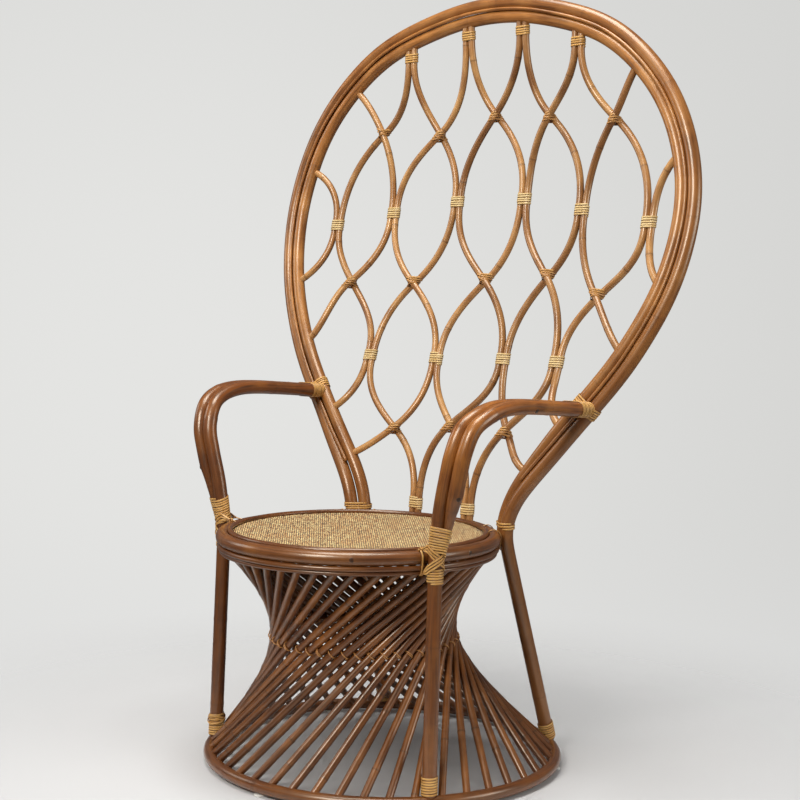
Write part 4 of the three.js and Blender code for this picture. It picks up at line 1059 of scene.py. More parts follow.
def leg_strands(side, rng, sizes):
    """The strands that cross over a leg, and one beside it with its knot on the seat hoop."""
    skins = crossed_strands(side, rng, sizes)
    angle = (FRONT_SEAT_ANGLE - (LEG_TUBE + SIDE_STRAND_GAP) / SEAT_OUTER_RADIUS) * side
    skins.append(hoop_strand(angle, sizes, SIDE_STRAND_TONE))
    (knot,), (flat,) = over_seat_hoop([KNOT_SPOT], angle)
    along = on_circle(1, angle + math.pi / 2, 0, 0)
    skins.append(pole_band(knot - along * KNOT_HALF_LENGTH, along, KNOT_RADIUS, KNOT_TURNS, rng, sizes, flat))
    return skins


def hoop_cross(side, rng, sizes):
    """Round both poles of the back hoop and the cane in their groove, above an arm's end."""
    height = SEAT_HEIGHT + ARM_HOOP_HEIGHT + HOOP_CROSS_RISE
    index = int(np.argmin(np.abs(HOOP[:HOOP_MIDDLE, 2] - height)))
    outer, inner, after, before = (on_side(point, side) for point in (
        OUTER_LINE[index], INNER_LINE[index], HOOP[index + 4], HOOP[index - 4]))
    along = unit(after - before)
    apart = square_to(outer - inner, along)
    ahead = math.copysign(GROOVE_FORWARD, np.cross(along, apart) @ AHEAD)
    sections = ovals((-PAIR_HALF, 0, INNER_TUBE + 0.4), (PAIR_HALF, 0, OUTER_TUBE + 0.3),
                     (0, ahead, STRIP_TUBE + 0.5))
    start = (outer + inner) / 2 - along * HOOP_CROSS_TURNS * (sizes.strip_pitch / MM) / 2
    return [band(start, along, apart, sections, HOOP_CROSS_TURNS, rng, sizes)]


def seat_strands(side, rng, sizes):
    """A strand round the seat hoop on either side of the back hoop's two poles."""
    apart = (2 * PAIR_HALF + SEAT_CROSS_GAP) / SEAT_OUTER_RADIUS
    return [hoop_strand((TIE_ANGLE + way * apart) * side, sizes, rng.uniform(-1, 0.5)) for way in (-1, 1)]


def seat_band(side, rng, sizes):
    """Round the back hoop's two poles just above the seat hoop."""
    outer, inner = on_side(OUTER_LINE[0], side), on_side(INNER_LINE[0], side)
    start = (outer + inner) / 2 * LEVEL + UP * SEAT_HEIGHT + UP * SEAT_BAND_RISE
    sections = ovals((-PAIR_HALF, 0, INNER_TUBE + 0.5), (PAIR_HALF, 0, OUTER_TUBE + 0.3))
    return [band(start, UP, square_to(outer - inner, UP), sections, SEAT_BAND_TURNS, rng, sizes,
                 SEAT_BAND_PITCH)]


def arm_foot_band(side, rng, sizes):
    """Round the front leg and the tip of the outer arm pole, which thickens on its way up."""
    low, high = (on_side(on_arm(rise / ARM_LENGTH), side)
                 for rise in (ARM_FOOT_RISE, ARM_FOOT_RISE + winding_length(ARM_FOOT_TURNS)))
    along = unit(high - low)

    def sections(distance):
        tube = outer_arm_tube(ARM_FOOT_RISE + distance)
        none, grip = 0 * tube, 0 * tube + ARM_TUBE + 0.2
        inner = np.stack([none, none, grip, grip], -1)
        outer = np.stack([side * (ARM_TUBE + tube + CLEARANCE), none, tube + 0.4, tube + 0.4], -1)
        return np.stack([inner, outer], 1)

    turns = winding_length(ARM_FOOT_TURNS) / (sizes.strip_pitch / MM) - 0.5
    return [band(low + along * 2, along, square_to(SIDEWAYS, along), sections, turns, rng, sizes,
                 slant=ARM_FOOT_SLANT * side)]


def arm_hoop_band(side, rng, sizes):
    """Round both arm poles where they meet the back hoop."""
    step = ARM_TUBE + CLEARANCE / 2
    start, far = (on_side(on_arm(1 - distance / ARM_LENGTH) + SIDEWAYS * step, side)
                  for distance in (ARM_HOOP_START, ARM_HOOP_START + winding_length(ARM_HOOP_END_TURNS)))
    sections = ovals((-step, 0, ARM_TUBE + 0.2), (step, 0, ARM_TUBE + 0.2))
    return [band(start, unit(far - start), SIDEWAYS, sections, ARM_HOOP_END_TURNS, rng, sizes)]


def front_leg(side):
    """A front leg's top under the seat hoop, its foot, the way down it and the way out from the chair."""
    seat, foot = (on_side(point, side) for point in (front_leg_at(SEAT_HEIGHT - SEAT_TUBE), front_leg_foot()))
    return seat, foot, unit(foot - seat), foot * LEVEL


def leg_band(side, rng, sizes):
    """Round a front leg under the seat hoop."""
    seat, _, down, flat = front_leg(side)
    return [pole_band(seat + down * LEG_BAND_DROP, down, LEG_TUBE + 0.2, LEG_BAND_TURNS, rng, sizes, flat)]


def front_foot_bands(side, rng, sizes):
    """Round the foot of a front leg; the left one has two slanting strands over its band."""
    _, foot, down, flat = front_leg(side)
    return [pole_band(foot - down * rise, -down, LEG_TUBE + lift, turns, rng, sizes, flat, slant)
            for rise, lift, turns, slant in FRONT_FOOT_WINDINGS[side]]


def rear_foot_band(side, rng, sizes):
    """Round the foot of a rear leg."""
    foot, bend, _ = (on_side(point, side) for point in rear_leg_points())
    up = unit(bend - foot)
    return [pole_band(foot + up * REAR_FOOT_RISE, up, OUTER_TUBE + 0.2, REAR_FOOT_TURNS, rng, sizes,
                      foot * LEVEL)]


def crossing_turns(crossing, leans, tilt, turns, pitch, lift, rng):
    """A winding round two canes that cross, its axis tilted from upright in the back's own face. A cane
    that leans by an angle is cut in an oval, which is longer and moves faster the more it leans."""
    x, z = place(crossing)
    face = face_of_back(x, z)
    up = square_to(UP, face)
    along = up * math.cos(tilt) + np.cross(up, face) * math.sin(tilt)
    leans = [max(-CROSSING_LEAN_LIMIT, min(CROSSING_LEAN_LIMIT, math.radians(lean) + tilt)) for lean in leans]
    shift = -turns * pitch / 2

    def sections(distance):
        height = distance + shift
        grip = 0 * height + LATTICE_TUBE + lift
        items = [np.stack([0 * height + layer * CROSS_STEP, -height * math.tan(lean) * CROSSING_DRAW, grip,
                           0 * height + (LATTICE_TUBE / math.cos(lean) + lift) * CROSSING_PINCH], -1)
                 for layer, lean in zip((FRONT, BEHIND), leans)]
        return np.stack(items, 1)

    line, outward = wound_line(on_back(x, z) + along * shift, along, face, sections, turns, pitch,
                               math.pi + rng.uniform(-0.4, 0.4))
    return strip(line, outward, *CROSSING_STRIP, rng.uniform(-1, 0.4))


def plug(name, spot, outward, radius):
    """A round peg's end or a nail's head: a low dome let into the pole."""
    outward = unit(outward)
    heights, shares = PEG_PROFILE.T
    section = round_section(20)[None] * (radius * shares)[:, None, None]
    dome = carry(spot + heights[:, None] * outward, square_to(UP + 0.01, outward), section)
    make_piece(name, [dome], "peg")


# Sizes and colours

def length_of(name, description, default):
    return bpy.props.FloatProperty(name=name, description=description, default=default, min=0.0,
                                   subtype="DISTANCE", unit="LENGTH")


def colour_of(name, description, default):
    return bpy.props.FloatVectorProperty(name=name, description=description, default=linear(default), size=4,
                                         min=0.0, max=1.0, subtype="COLOR")


class RattanSizes(bpy.types.PropertyGroup):
    """Sizes of the pieces that only the dressed chair has."""
    pole_ring_spacing: length_of("Pole ring spacing", "Distance between growth rings on a thick pole", 0.19)
    cane_ring_spacing: length_of("Cane ring spacing", "Distance between growth rings on a thin cane", 0.23)
    cage_ring_spacing: length_of("Cage ring spacing", "Distance between growth rings on a cage cane", 0.21)
    strip_width: length_of("Strip width", "Width of the split cane that the bands are wound from", 0.0042)
    strip_thickness: length_of("Strip thickness", "Thickness of the split cane at its crown", 0.0015)
    strip_pitch: length_of("Strip pitch", "Distance from one loop of a band to the next", 0.0047)
    peg_radius: length_of("Peg radius", "Radius of the pegs over the screws", 0.0042)
    weave_pitch: length_of("Weave pitch", "Distance from one cord of the seat to the next", 0.0041)
    weave_run: length_of("Weave run", "Length of a cord that shows between two places where it dips", 0.0076)
    weave_relief: length_of("Weave relief", "Height of the cords above and below the seat's surface", 0.00045)
    weave_turn: bpy.props.FloatProperty(
        name="Weave turn", description="Angle of the seat's cords to the front", default=math.radians(43),
        subtype="ANGLE", unit="ROTATION")


class RattanColours(bpy.types.PropertyGroup):
    """Colours of the finishes."""
    pole_light: colour_of("Pole light", "Worn, light stain on the arms and hoops", "#b06e2e")
    pole_middle: colour_of("Pole middle", "Stain on the arms and hoops", "#965621")
    pole_dark: colour_of("Pole dark", "Dark streaks on the arms and hoops", "#4e260a")
    hoop_light: colour_of("Back light", "Light stain on the back hoop", "#cf9250")
    hoop_middle: colour_of("Back middle", "Stain on the back hoop", "#b67638")
    hoop_dark: colour_of("Back dark", "Dark streaks on the back hoop", "#744317")
    cane_light: colour_of("Cane light", "Light stain on the lattice", "#cd9b5f")
    cane_middle: colour_of("Cane middle", "Stain on the lattice", "#b47e48")
    cane_dark: colour_of("Cane dark", "Dark streaks on the lattice", "#84532a")
    cage_light: colour_of("Cage light", "Light stain on the cage", "#955a25")
    cage_middle: colour_of("Cage middle", "Stain on the cage", "#733f12")
    # Also the painted shade at the edges of the waist ties
    cage_dark: colour_of("Cage dark", "Dark streaks on the cage", "#451f08")
    ring: colour_of("Growth ring", "Growth rings and specks", "#2f190b")
    strip_light: colour_of("Strip light", "Light part of a golden strip", "#e3b469")
    strip_middle: colour_of("Strip middle", "Golden strip", "#cc964c")
    # Dark streaks and tones of a strip, and the painted shade at its edges
    strip_dark: colour_of("Strip dark", "Shade at a strip's edges", "#76491d")
    pale_light: colour_of("Pale strip light", "Light part of a pale strip", "#ecd39c")
    pale_middle: colour_of("Pale strip middle", "Pale strip", "#d6b272")
    tie_light: colour_of("Tie light", "Light part of a crossing tie", "#d6a560")
    tie_middle: colour_of("Tie middle", "Crossing tie", "#b98244")
    # Dark streaks and tones of a tie, and the painted shade at its edges
    tie_dark: colour_of("Tie dark", "Shade at a tie's edges", "#6e441d")
    straw_light: colour_of("Straw light", "Light cord of the seat", "#ffe6a2")
    straw_dark: colour_of("Straw dark", "Dark cord of the seat", "#a66a2a")
    straw_warm: colour_of("Straw warm", "Warm patches of the seat", "#dca05a")
    # Painted shade in the seat's gaps and specks
    straw_gap: colour_of("Straw gap", "Gaps and specks in the seat", "#281406")
    glide: colour_of("Glide", "Plastic glides", "#e6e4de")
    floor: colour_of("Floor", "Studio floor", "#d9d9da")

# Radii and heights of the thin hoops, each laid against its neighbour in a direction of the section

def beside(radius, tube, height, angle, thin):
    """Radius and height of a thin hoop that lies against another one."""
    step = tube + CLEARANCE + thin
    return radius + step * math.cos(angle), height + step * math.sin(angle)


RIM_RADIUS, RIM_HEIGHT = beside(SEAT_RADIUS, SEAT_TUBE, SEAT_HEIGHT, RIM_LEAN, RIM_TUBE)
UPPER_RADIUS, UPPER_HEIGHT = beside(SEAT_RADIUS, SEAT_TUBE, SEAT_HEIGHT, UNDER_UPPER_LEAN, UNDER_UPPER_TUBE)
LOWER_RADIUS, LOWER_HEIGHT = beside(UPPER_RADIUS, UNDER_UPPER_TUBE, UPPER_HEIGHT, UNDER_LOWER_LEAN,
                                    UNDER_LOWER_TUBE)


def cage_foot_angles():
    """Angles of the cane feet: spread evenly over each arc of the floor hoop between two legs."""
    corners = [-FRONT_FLOOR_ANGLE, FRONT_FLOOR_ANGLE, REAR_FLOOR_ANGLE, FULL - REAR_FLOOR_ANGLE,
               FULL - FRONT_FLOOR_ANGLE]
    room = (LEG_TUBE + CAGE_LEG_ROOM + CAGE_TUBE + CLEARANCE) / BASE_RADIUS
    return {name: np.linspace(low + first * room, high - last * room, count)
            for low, high, (name, count, first, last) in zip(corners, corners[1:], CAGE_SIDES)}


def cage_line(angle):
    """A cane from the floor hoop in to the waist, where it bends, and out to the seat."""
    foot = on_circle(BASE_RADIUS, angle, BASE_SETBACK, BASE_HEIGHT)
    waist = on_circle(WAIST_RADIUS, angle + LOWER_TWIST, WAIST_SETBACK, WAIST_HEIGHT)
    rim_angle = angle + LOWER_TWIST + UPPER_TWIST
    centre = on_circle(LOWER_RADIUS, rim_angle, 0, LOWER_HEIGHT)
    outward = on_circle(1, rim_angle, 0, 0)
    lean = centre - waist
    reach = (UNDER_LOWER_TUBE + CAGE_TUBE + CLEARANCE) * math.hypot(1, (lean @ outward) / lean[2])
    top = centre - outward * reach
    top = top + unit(top - waist) * UNDER_LOWER_TUBE
    return rounded([foot, waist, top], CAGE_BEND_REACH), waist


def waist_tie(line, waist, rng):
    """A loop of thin cane round a cage cane and the waist hoop inside it."""
    nearest = np.argmin(np.linalg.norm(line - waist, axis=1))
    way = tangents(line)[nearest]
    inward = square_to(on_circle(0, 0, WAIST_SETBACK, WAIST_HEIGHT) - waist, way)
    sections = ovals((0, 0, CAGE_TUBE + WAIST_TIE_LIFT),
                     (CAGE_TUBE + WAIST_TUBE - WAIST_BITE, 0, WAIST_TUBE, WAIST_TUBE * 1.15))
    loop, outward = wound_line(line[nearest] - way * WAIST_TIE_START, way, inward, sections, WAIST_TIE_TURNS,
                               WAIST_TIE_PITCH, rng.uniform(0, FULL), per_turn=22)
    return strip(loop, outward, *WAIST_TIE_STRIP, rng.uniform(-1, 0.6))


def woven_skin(sizes):
    """Height = panel + relief * cos(pi u) * cos(pi v), where u counts the cords and v their turns over
    and under; a disc of even cells that slopes down at its edge to pass under the rim."""
    pitch, run = sizes.weave_pitch / MM / 2, sizes.weave_run / MM / 2
    edge = RIM_RADIUS - PANEL_TUCK
    across, along = (int(math.ceil(edge / step)) for step in (pitch, run))
    u, v = np.meshgrid(np.arange(-across, across + 1), np.arange(-along, along + 1), indexing="ij")
    x, y = u * pitch, v * run
    far = np.hypot(x, y)
    keep = far <= edge
    cells = keep[:-1, :-1] & keep[1:, :-1] & keep[1:, 1:] & keep[:-1, 1:]
    flat = RIM_HEIGHT - RIM_TUBE - CLEARANCE + PANEL_CROWN
    drop = smooth(far, RIM_RADIUS - PANEL_SLOPE, RIM_RADIUS) * PANEL_CROWN
    relief = sizes.weave_relief / MM * np.cos(np.pi * u / 2) * np.cos(np.pi * v / 2)
    turn = sizes.weave_turn
    x, y = x * math.cos(turn) - y * math.sin(turn), x * math.sin(turn) + y * math.cos(turn)
    top, bottom = (np.stack([x, y, height + relief - drop], -1) for height in (flat, flat - PANEL_THICKNESS))
    size = u.size
    number = np.arange(size).reshape(u.shape)
    corners = (number[:-1, :-1], number[1:, :-1], number[1:, 1:], number[:-1, 1:])
    faces = np.stack([corner[cells] for corner in corners], -1)
    # The border's edges are those that only one cell uses
    edges = np.concatenate([faces[:, [k, (k + 1) % 4]] for k in range(4)])
    key = np.sort(edges, 1) @ np.array([size, 1])
    _, where, uses = np.unique(key, return_index=True, return_counts=True)
    border = edges[where[uses == 1]]
    wall = np.stack([border[:, 1], border[:, 0], border[:, 0] + size, border[:, 1] + size], -1)
    quads = np.concatenate([faces, faces[:, ::-1] + size, wall])
    used = np.unique(quads)
    renumber = np.zeros(2 * size, int)
    renumber[used] = np.arange(len(used))
    points = np.concatenate([top.reshape(-1, 3), bottom.reshape(-1, 3)])[used]
    return {"points": points, "quads": renumber[quads], "tris": np.zeros((0, 3), int), "grain": points,
            "knot": np.zeros(len(points)), "tone": np.zeros(len(points))}


# Operators

def sizes_and_dice(context, seed):
    """The chair's sizes, and random numbers that are the same in each run."""
    return context.scene.rattan_sizes, np.random.default_rng(seed)


class RATTAN_OT_base(bpy.types.Operator):
    """Make the floor hoop and its glides"""
    bl_idname = "rattan.base"
    bl_label = "Floor Hoop and Glides"
    bl_options = {"REGISTER", "UNDO"}

    def execute(self, context):
        sizes, rng = sizes_and_dice(context, seed=11)
        hoop = level_hoop(BASE_RADIUS, BASE_TUBE, BASE_SETBACK, BASE_HEIGHT, rng,
                          sizes.pole_ring_spacing / MM)
        make_piece("floor_hoop", [hoop], "stained_pole", "base_hoop")
        heights, radii = GLIDE_PROFILE.T
        section = round_section(36)[None] * radii[:, None, None]
        for index in range(GLIDE_COUNT):
            spot = on_circle(BASE_RADIUS, index / GLIDE_COUNT * FULL, BASE_SETBACK, 0)
            disc = carry(spot + heights[:, None] * UP, SIDEWAYS, section)
            make_piece(f"floor_glide_{index + 1}", [disc], "glide", f"glide_{index + 1}")
        return {"FINISHED"}


class RATTAN_OT_seat_hoops(bpy.types.Operator):
    """Make the seat pole, the rim above it and the two thin hoops beneath it"""
    bl_idname = "rattan.seat_hoops"
    bl_label = "Seat Hoops"
    bl_options = {"REGISTER", "UNDO"}

    def execute(self, context):
        sizes, rng = sizes_and_dice(context, seed=21)
        spacing = sizes.pole_ring_spacing / MM
        for name, radius, tube, height, apart, sides, node in (
                ("seat_pole", SEAT_RADIUS, SEAT_TUBE, SEAT_HEIGHT, spacing * 1.4, 20, "seat_hoop"),
                ("seat_edge", RIM_RADIUS, RIM_TUBE, RIM_HEIGHT, spacing, 12, "seat_rim"),
                ("under_pole_upper", UPPER_RADIUS, UNDER_UPPER_TUBE, UPPER_HEIGHT, spacing, 12,
                 "under_hoop_upper"),
                ("under_pole_lower", LOWER_RADIUS, UNDER_LOWER_TUBE, LOWER_HEIGHT, spacing, 12,
                 "under_hoop_lower")):
            make_piece(name, [level_hoop(radius, tube, 0, height, rng, apart, sides)], "stained_pole", node)
        return {"FINISHED"}


class RATTAN_OT_cage(bpy.types.Operator):
    """Make the canes of the hourglass base, the hoop at its waist and the ties round it"""
    bl_idname = "rattan.cage"
    bl_label = "Hourglass Cage"
    bl_options = {"REGISTER", "UNDO"}

    def execute(self, context):
        sizes, rng = sizes_and_dice(context, seed=31)
        spacing = sizes.cage_ring_spacing / MM
        waist_middle = on_circle(0, 0, WAIST_SETBACK, WAIST_HEIGHT)
        ties = []
        for name, angles in cage_foot_angles().items():
            canes = []
            for angle in angles:
                line, waist = cage_line(angle)
                radius = CAGE_TUBE * rng.uniform(0.95, 1.0)
                inward = unit(waist_middle - waist)
                canes.append(pole(line, radius, inward, rng, spacing, 12, 5.0, swell=0.09))
                ties.append(waist_tie(line, waist, rng))
            make_piece(f"cage_canes_{name}", canes, "cage_cane", f"cage_{name}")
        hoop = level_hoop(WAIST_RADIUS - CAGE_TUBE - WAIST_TUBE + WAIST_BITE, WAIST_TUBE - 0.5, WAIST_SETBACK,
                          WAIST_HEIGHT, rng, spacing, 12)
        make_piece("waist_hoop", [hoop], "cage_cane")
        make_piece("waist_ties", ties, "waist_strip")
        return {"FINISHED"}


class RATTAN_OT_seat(bpy.types.Operator):
    """Make the woven seat"""
    bl_idname = "rattan.seat"
    bl_label = "Woven Seat"
    bl_options = {"REGISTER", "UNDO"}

    def execute(self, context):
        make_piece("woven_seat", [woven_skin(context.scene.rattan_sizes)], "weave", "seat_panel")
        return {"FINISHED"}


class RATTAN_OT_back_hoop(bpy.types.Operator):
    """Make the two poles of the back hoop and the thin one in their groove"""
    bl_idname = "rattan.back_hoop"
    bl_label = "Back Hoop"
    bl_options = {"REGISTER", "UNDO"}

    def execute(self, context):
        sizes, rng = sizes_and_dice(context, seed=51)
        spacing = sizes.pole_ring_spacing / MM
        for name, line, tube in (("outer", outer_hoop_line(), OUTER_TUBE - OUTER_RING_ROOM),
                                 ("inner", inner_hoop_line(), INNER_TUBE - INNER_RING_ROOM)):
            skin = pole(line, tube, AHEAD, rng, spacing * 1.2, 24, swell=0.013)
            make_piece(f"hoop_pole_{name}", [skin], "golden_pole", f"back_hoop_{name}")
        skin = pole(along_hoop(0, GROOVE_FORWARD, *STRIP_SHARES), STRIP_TUBE, AHEAD, rng, spacing, 12, 5.0)
        make_piece("hoop_groove_cane", [skin], "golden_pole", "back_hoop_strip")
        return {"FINISHED"}


class RATTAN_OT_lattice(bpy.types.Operator):
    """Make the twelve bent canes of the lattice"""
    bl_idname = "rattan.lattice"
    bl_label = "Lattice Canes"
    bl_options = {"REGISTER", "UNDO"}

    def execute(self, context):
        sizes, rng = sizes_and_dice(context, seed=61)
        for number, line in enumerate(lattice_lines(), 1):
            radius = LATTICE_TUBE * rng.uniform(0.96, 1.03)
            skin = pole(line, radius, AHEAD, rng, sizes.cane_ring_spacing / MM, 14, swell=0.05)
            make_piece(f"ogee_cane_{number:02d}", [skin], "lattice_cane", f"lattice_cane_{number:02d}")
        return {"FINISHED"}


class RATTAN_OT_bands(bpy.types.Operator):
    """Make the strip bands that hold the lattice canes in pairs"""
    bl_idname = "rattan.bands"
    bl_label = "Lattice Bands"
    bl_options = {"REGISTER", "UNDO"}

    def execute(self, context):
        sizes, rng = sizes_and_dice(context, seed=71)
        for row, shares, turns, look in (
                ("top", TOP_BANDS, TOP_BAND_TURNS, "golden_strip"),
                ("high", HIGH_BANDS, BAND_TURNS, "pale_strip"),
                ("low", LOW_BANDS, BAND_TURNS, "pale_strip"),
                ("seat", SEAT_BANDS, BAND_TURNS, "pale_strip")):
            for number, share in enumerate(shares, 1):
                make_piece(f"band_{row}_{number}", [pair_band(share, turns, rng, sizes)], look,
                           f"binding_{row}_{number}")
        return {"FINISHED"}


class RATTAN_OT_ties(bpy.types.Operator):
    """Make the ties where two lattice canes cross"""
    bl_idname = "rattan.ties"
    bl_label = "Crossing Ties"
    bl_options = {"REGISTER", "UNDO"}

    def execute(self, context):
        rng = sizes_and_dice(context, seed=81)[1]
        for row, crossings in (
                ("high", HIGH_CROSSINGS), ("middle", MIDDLE_CROSSINGS), ("low", LOW_CROSSINGS)):
            for number, crossing in enumerate(crossings, 1):
                # The front cane's lean comes first: at these crossings it falls to the right
                to_right = (row == "high" and number == 1) or (row == "middle" and number > 1)
                leans = crossing[2:] if to_right else crossing[:1:-1]
                turns = [crossing_turns(crossing, leans, *winding, rng) for winding in CROSSING_WINDINGS]
                make_piece(f"tie_{row}_{number}", turns, "tie_strip")
        return {"FINISHED"}


class RATTAN_OT_arms(bpy.types.Operator):
    """Make the two arms with their front legs and the outer poles beside them"""
    bl_idname = "rattan.arms"
    bl_label = "Arms and Legs"
    bl_options = {"REGISTER", "UNDO"}

    def execute(self, context):
        sizes, rng = sizes_and_dice(context, seed=91)
        spacing = sizes.pole_ring_spacing / MM
        line = arm_and_leg_line()
        thick = smooth(np.linspace(0, lengths(line)[-1], 400), *ARM_THICKENING)
        shares = np.linspace(ARM_TIP_RISE / ARM_LENGTH, 1, 400)
        tube = outer_arm_tube(shares * ARM_LENGTH)
        outer = even(ARM, 400, shares[0], 1) + SIDEWAYS * (ARM_TUBE + tube + CLEARANCE)[:, None]
        for name, side in SIDES:
            for piece, path, radius, node in (
                    ("arm_pole", line, LEG_TUBE + (ARM_TUBE - LEG_TUBE) * thick, "arm_and_leg"),
                    ("arm_pole_outer", outer, tube, "arm_outer")):
                # Each arm's tone is painted shade on the left and painted light on the right
                skin = pole(on_side(path, side), radius, SIDEWAYS, rng, spacing, 24, tone=ARM_LIGHT_AND_SHADE[side])
                make_piece(f"{piece}_{name}", [skin], "stained_pole", f"{node}_{name}")
        return {"FINISHED"}


class RATTAN_OT_pegs(bpy.types.Operator):
    """Make the pegs over the screws of the seat hoop and the arms, and the nail of one tie"""
    bl_idname = "rattan.pegs"
    bl_label = "Pegs and Nail"
    bl_options = {"REGISTER", "UNDO"}

    def execute(self, context):
        radius = context.scene.rattan_sizes.peg_radius / MM
        for number, angle in enumerate(SEAT_PEG_ANGLES, 1):
            way = on_circle(1, angle, 0, 0)
            spot = on_circle(SEAT_OUTER_RADIUS, angle, 0, SEAT_HEIGHT) - way * PEG_SINK
            plug(f"seat_peg_{number}", spot, way, radius)
        to_outer = SIDEWAYS * (2 * ARM_TUBE + CLEARANCE)
        for name, side in SIDES:
            for number, (share, facing) in enumerate(ARM_PEGS, 1):
                middle, near = on_arm(share) + to_outer, on_arm(share + 0.01) + to_outer
                way = square_to(np.array(facing), unit(near - middle))
                spot = middle + way * (ARM_TUBE - PEG_SINK)
                plug(f"arm_peg_{number}_{name}", on_side(spot, side), on_side(way, side), radius)
        x, z = place(HIGH_CROSSINGS[0])
        face = face_of_back(x, z)
        plug("tie_nail", on_back(x, z) + face * (CROSS_STEP + LATTICE_TUBE + NAIL_RISE), face, radius / 2)
        return {"FINISHED"}


class RATTAN_OT_pole_windings(bpy.types.Operator):
    """Make the windings at the arms, the seat and the feet of the legs"""
    bl_idname = "rattan.pole_windings"
    bl_label = "Pole Windings"
    bl_options = {"REGISTER", "UNDO"}

    def execute(self, context):
        sizes, rng = sizes_and_dice(context, seed=101)
        for name, side in SIDES:
            for piece, wind, node in (
                    ("arm_foot_band", arm_foot_band, "arm_foot_winding"),
                    ("arm_hoop_band", arm_hoop_band, "arm_hoop_winding"),
                    ("leg_band", leg_band, "leg_tie"),
                    ("front_foot_band", front_foot_bands, "front_foot_tie"),
                    ("rear_foot_band", rear_foot_band, "rear_foot_tie"),
                    ("leg_cross", leg_strands, None),
                    ("arm_hoop_cross", hoop_cross, None),
                    ("seat_cross", seat_strands, None),
                    ("seat_band", seat_band, "seat_tie")):
                nodes = [f"{node}_{name}"] if node else []
                make_piece(f"{piece}_{name}", wind(side, rng, sizes), "golden_strip", *nodes)
        return {"FINISHED"}


# The studio: its floor, in metres, the way that the camera sees the brightest place of the backdrop's painted
# light, and each light's place, where it looks, its width, its power in watts and its colour
FLOOR_RADIUS, FLOOR_RINGS, FLOOR_SIDES = 9.0, 24, 96
BACKDROP_GLOW_MIDDLE = (math.cos(math.radians(138.9)), math.sin(math.radians(138.9)), -0.06)
LIGHTS = (
    ("top_light", (0.0, -0.3, 3.4), (0, 0, 0.6), 1.8, 80, "#fffefb"),
    ("front_light", (0.4, -3.3, 2.75), (0, 0, 0.9), 1.5, 104, "#fffbf6"),
    ("left_light", (-2.9, -1.2, 1.9), (0, 0, 0.7), 1.3, 14, "#fffefb"),
    ("side_light", (2.9, 0.9, 1.3), (0, 0, 0.7), 1.5, 30, "#fffefb"))

# The camera, fitted to the photograph: where it stands, in metres, its angles, its lens and its shift
CAMERA_SPOT = (2.0, (SEAT_SETBACK - 2260) * MM, 0.925)
CAMERA_AZIMUTH, CAMERA_PITCH, CAMERA_ROLL = math.radians(41.5), math.radians(4.22), math.radians(0.72)
CAMERA_LENS = 72.09
CAMERA_SHIFT = 0.0499


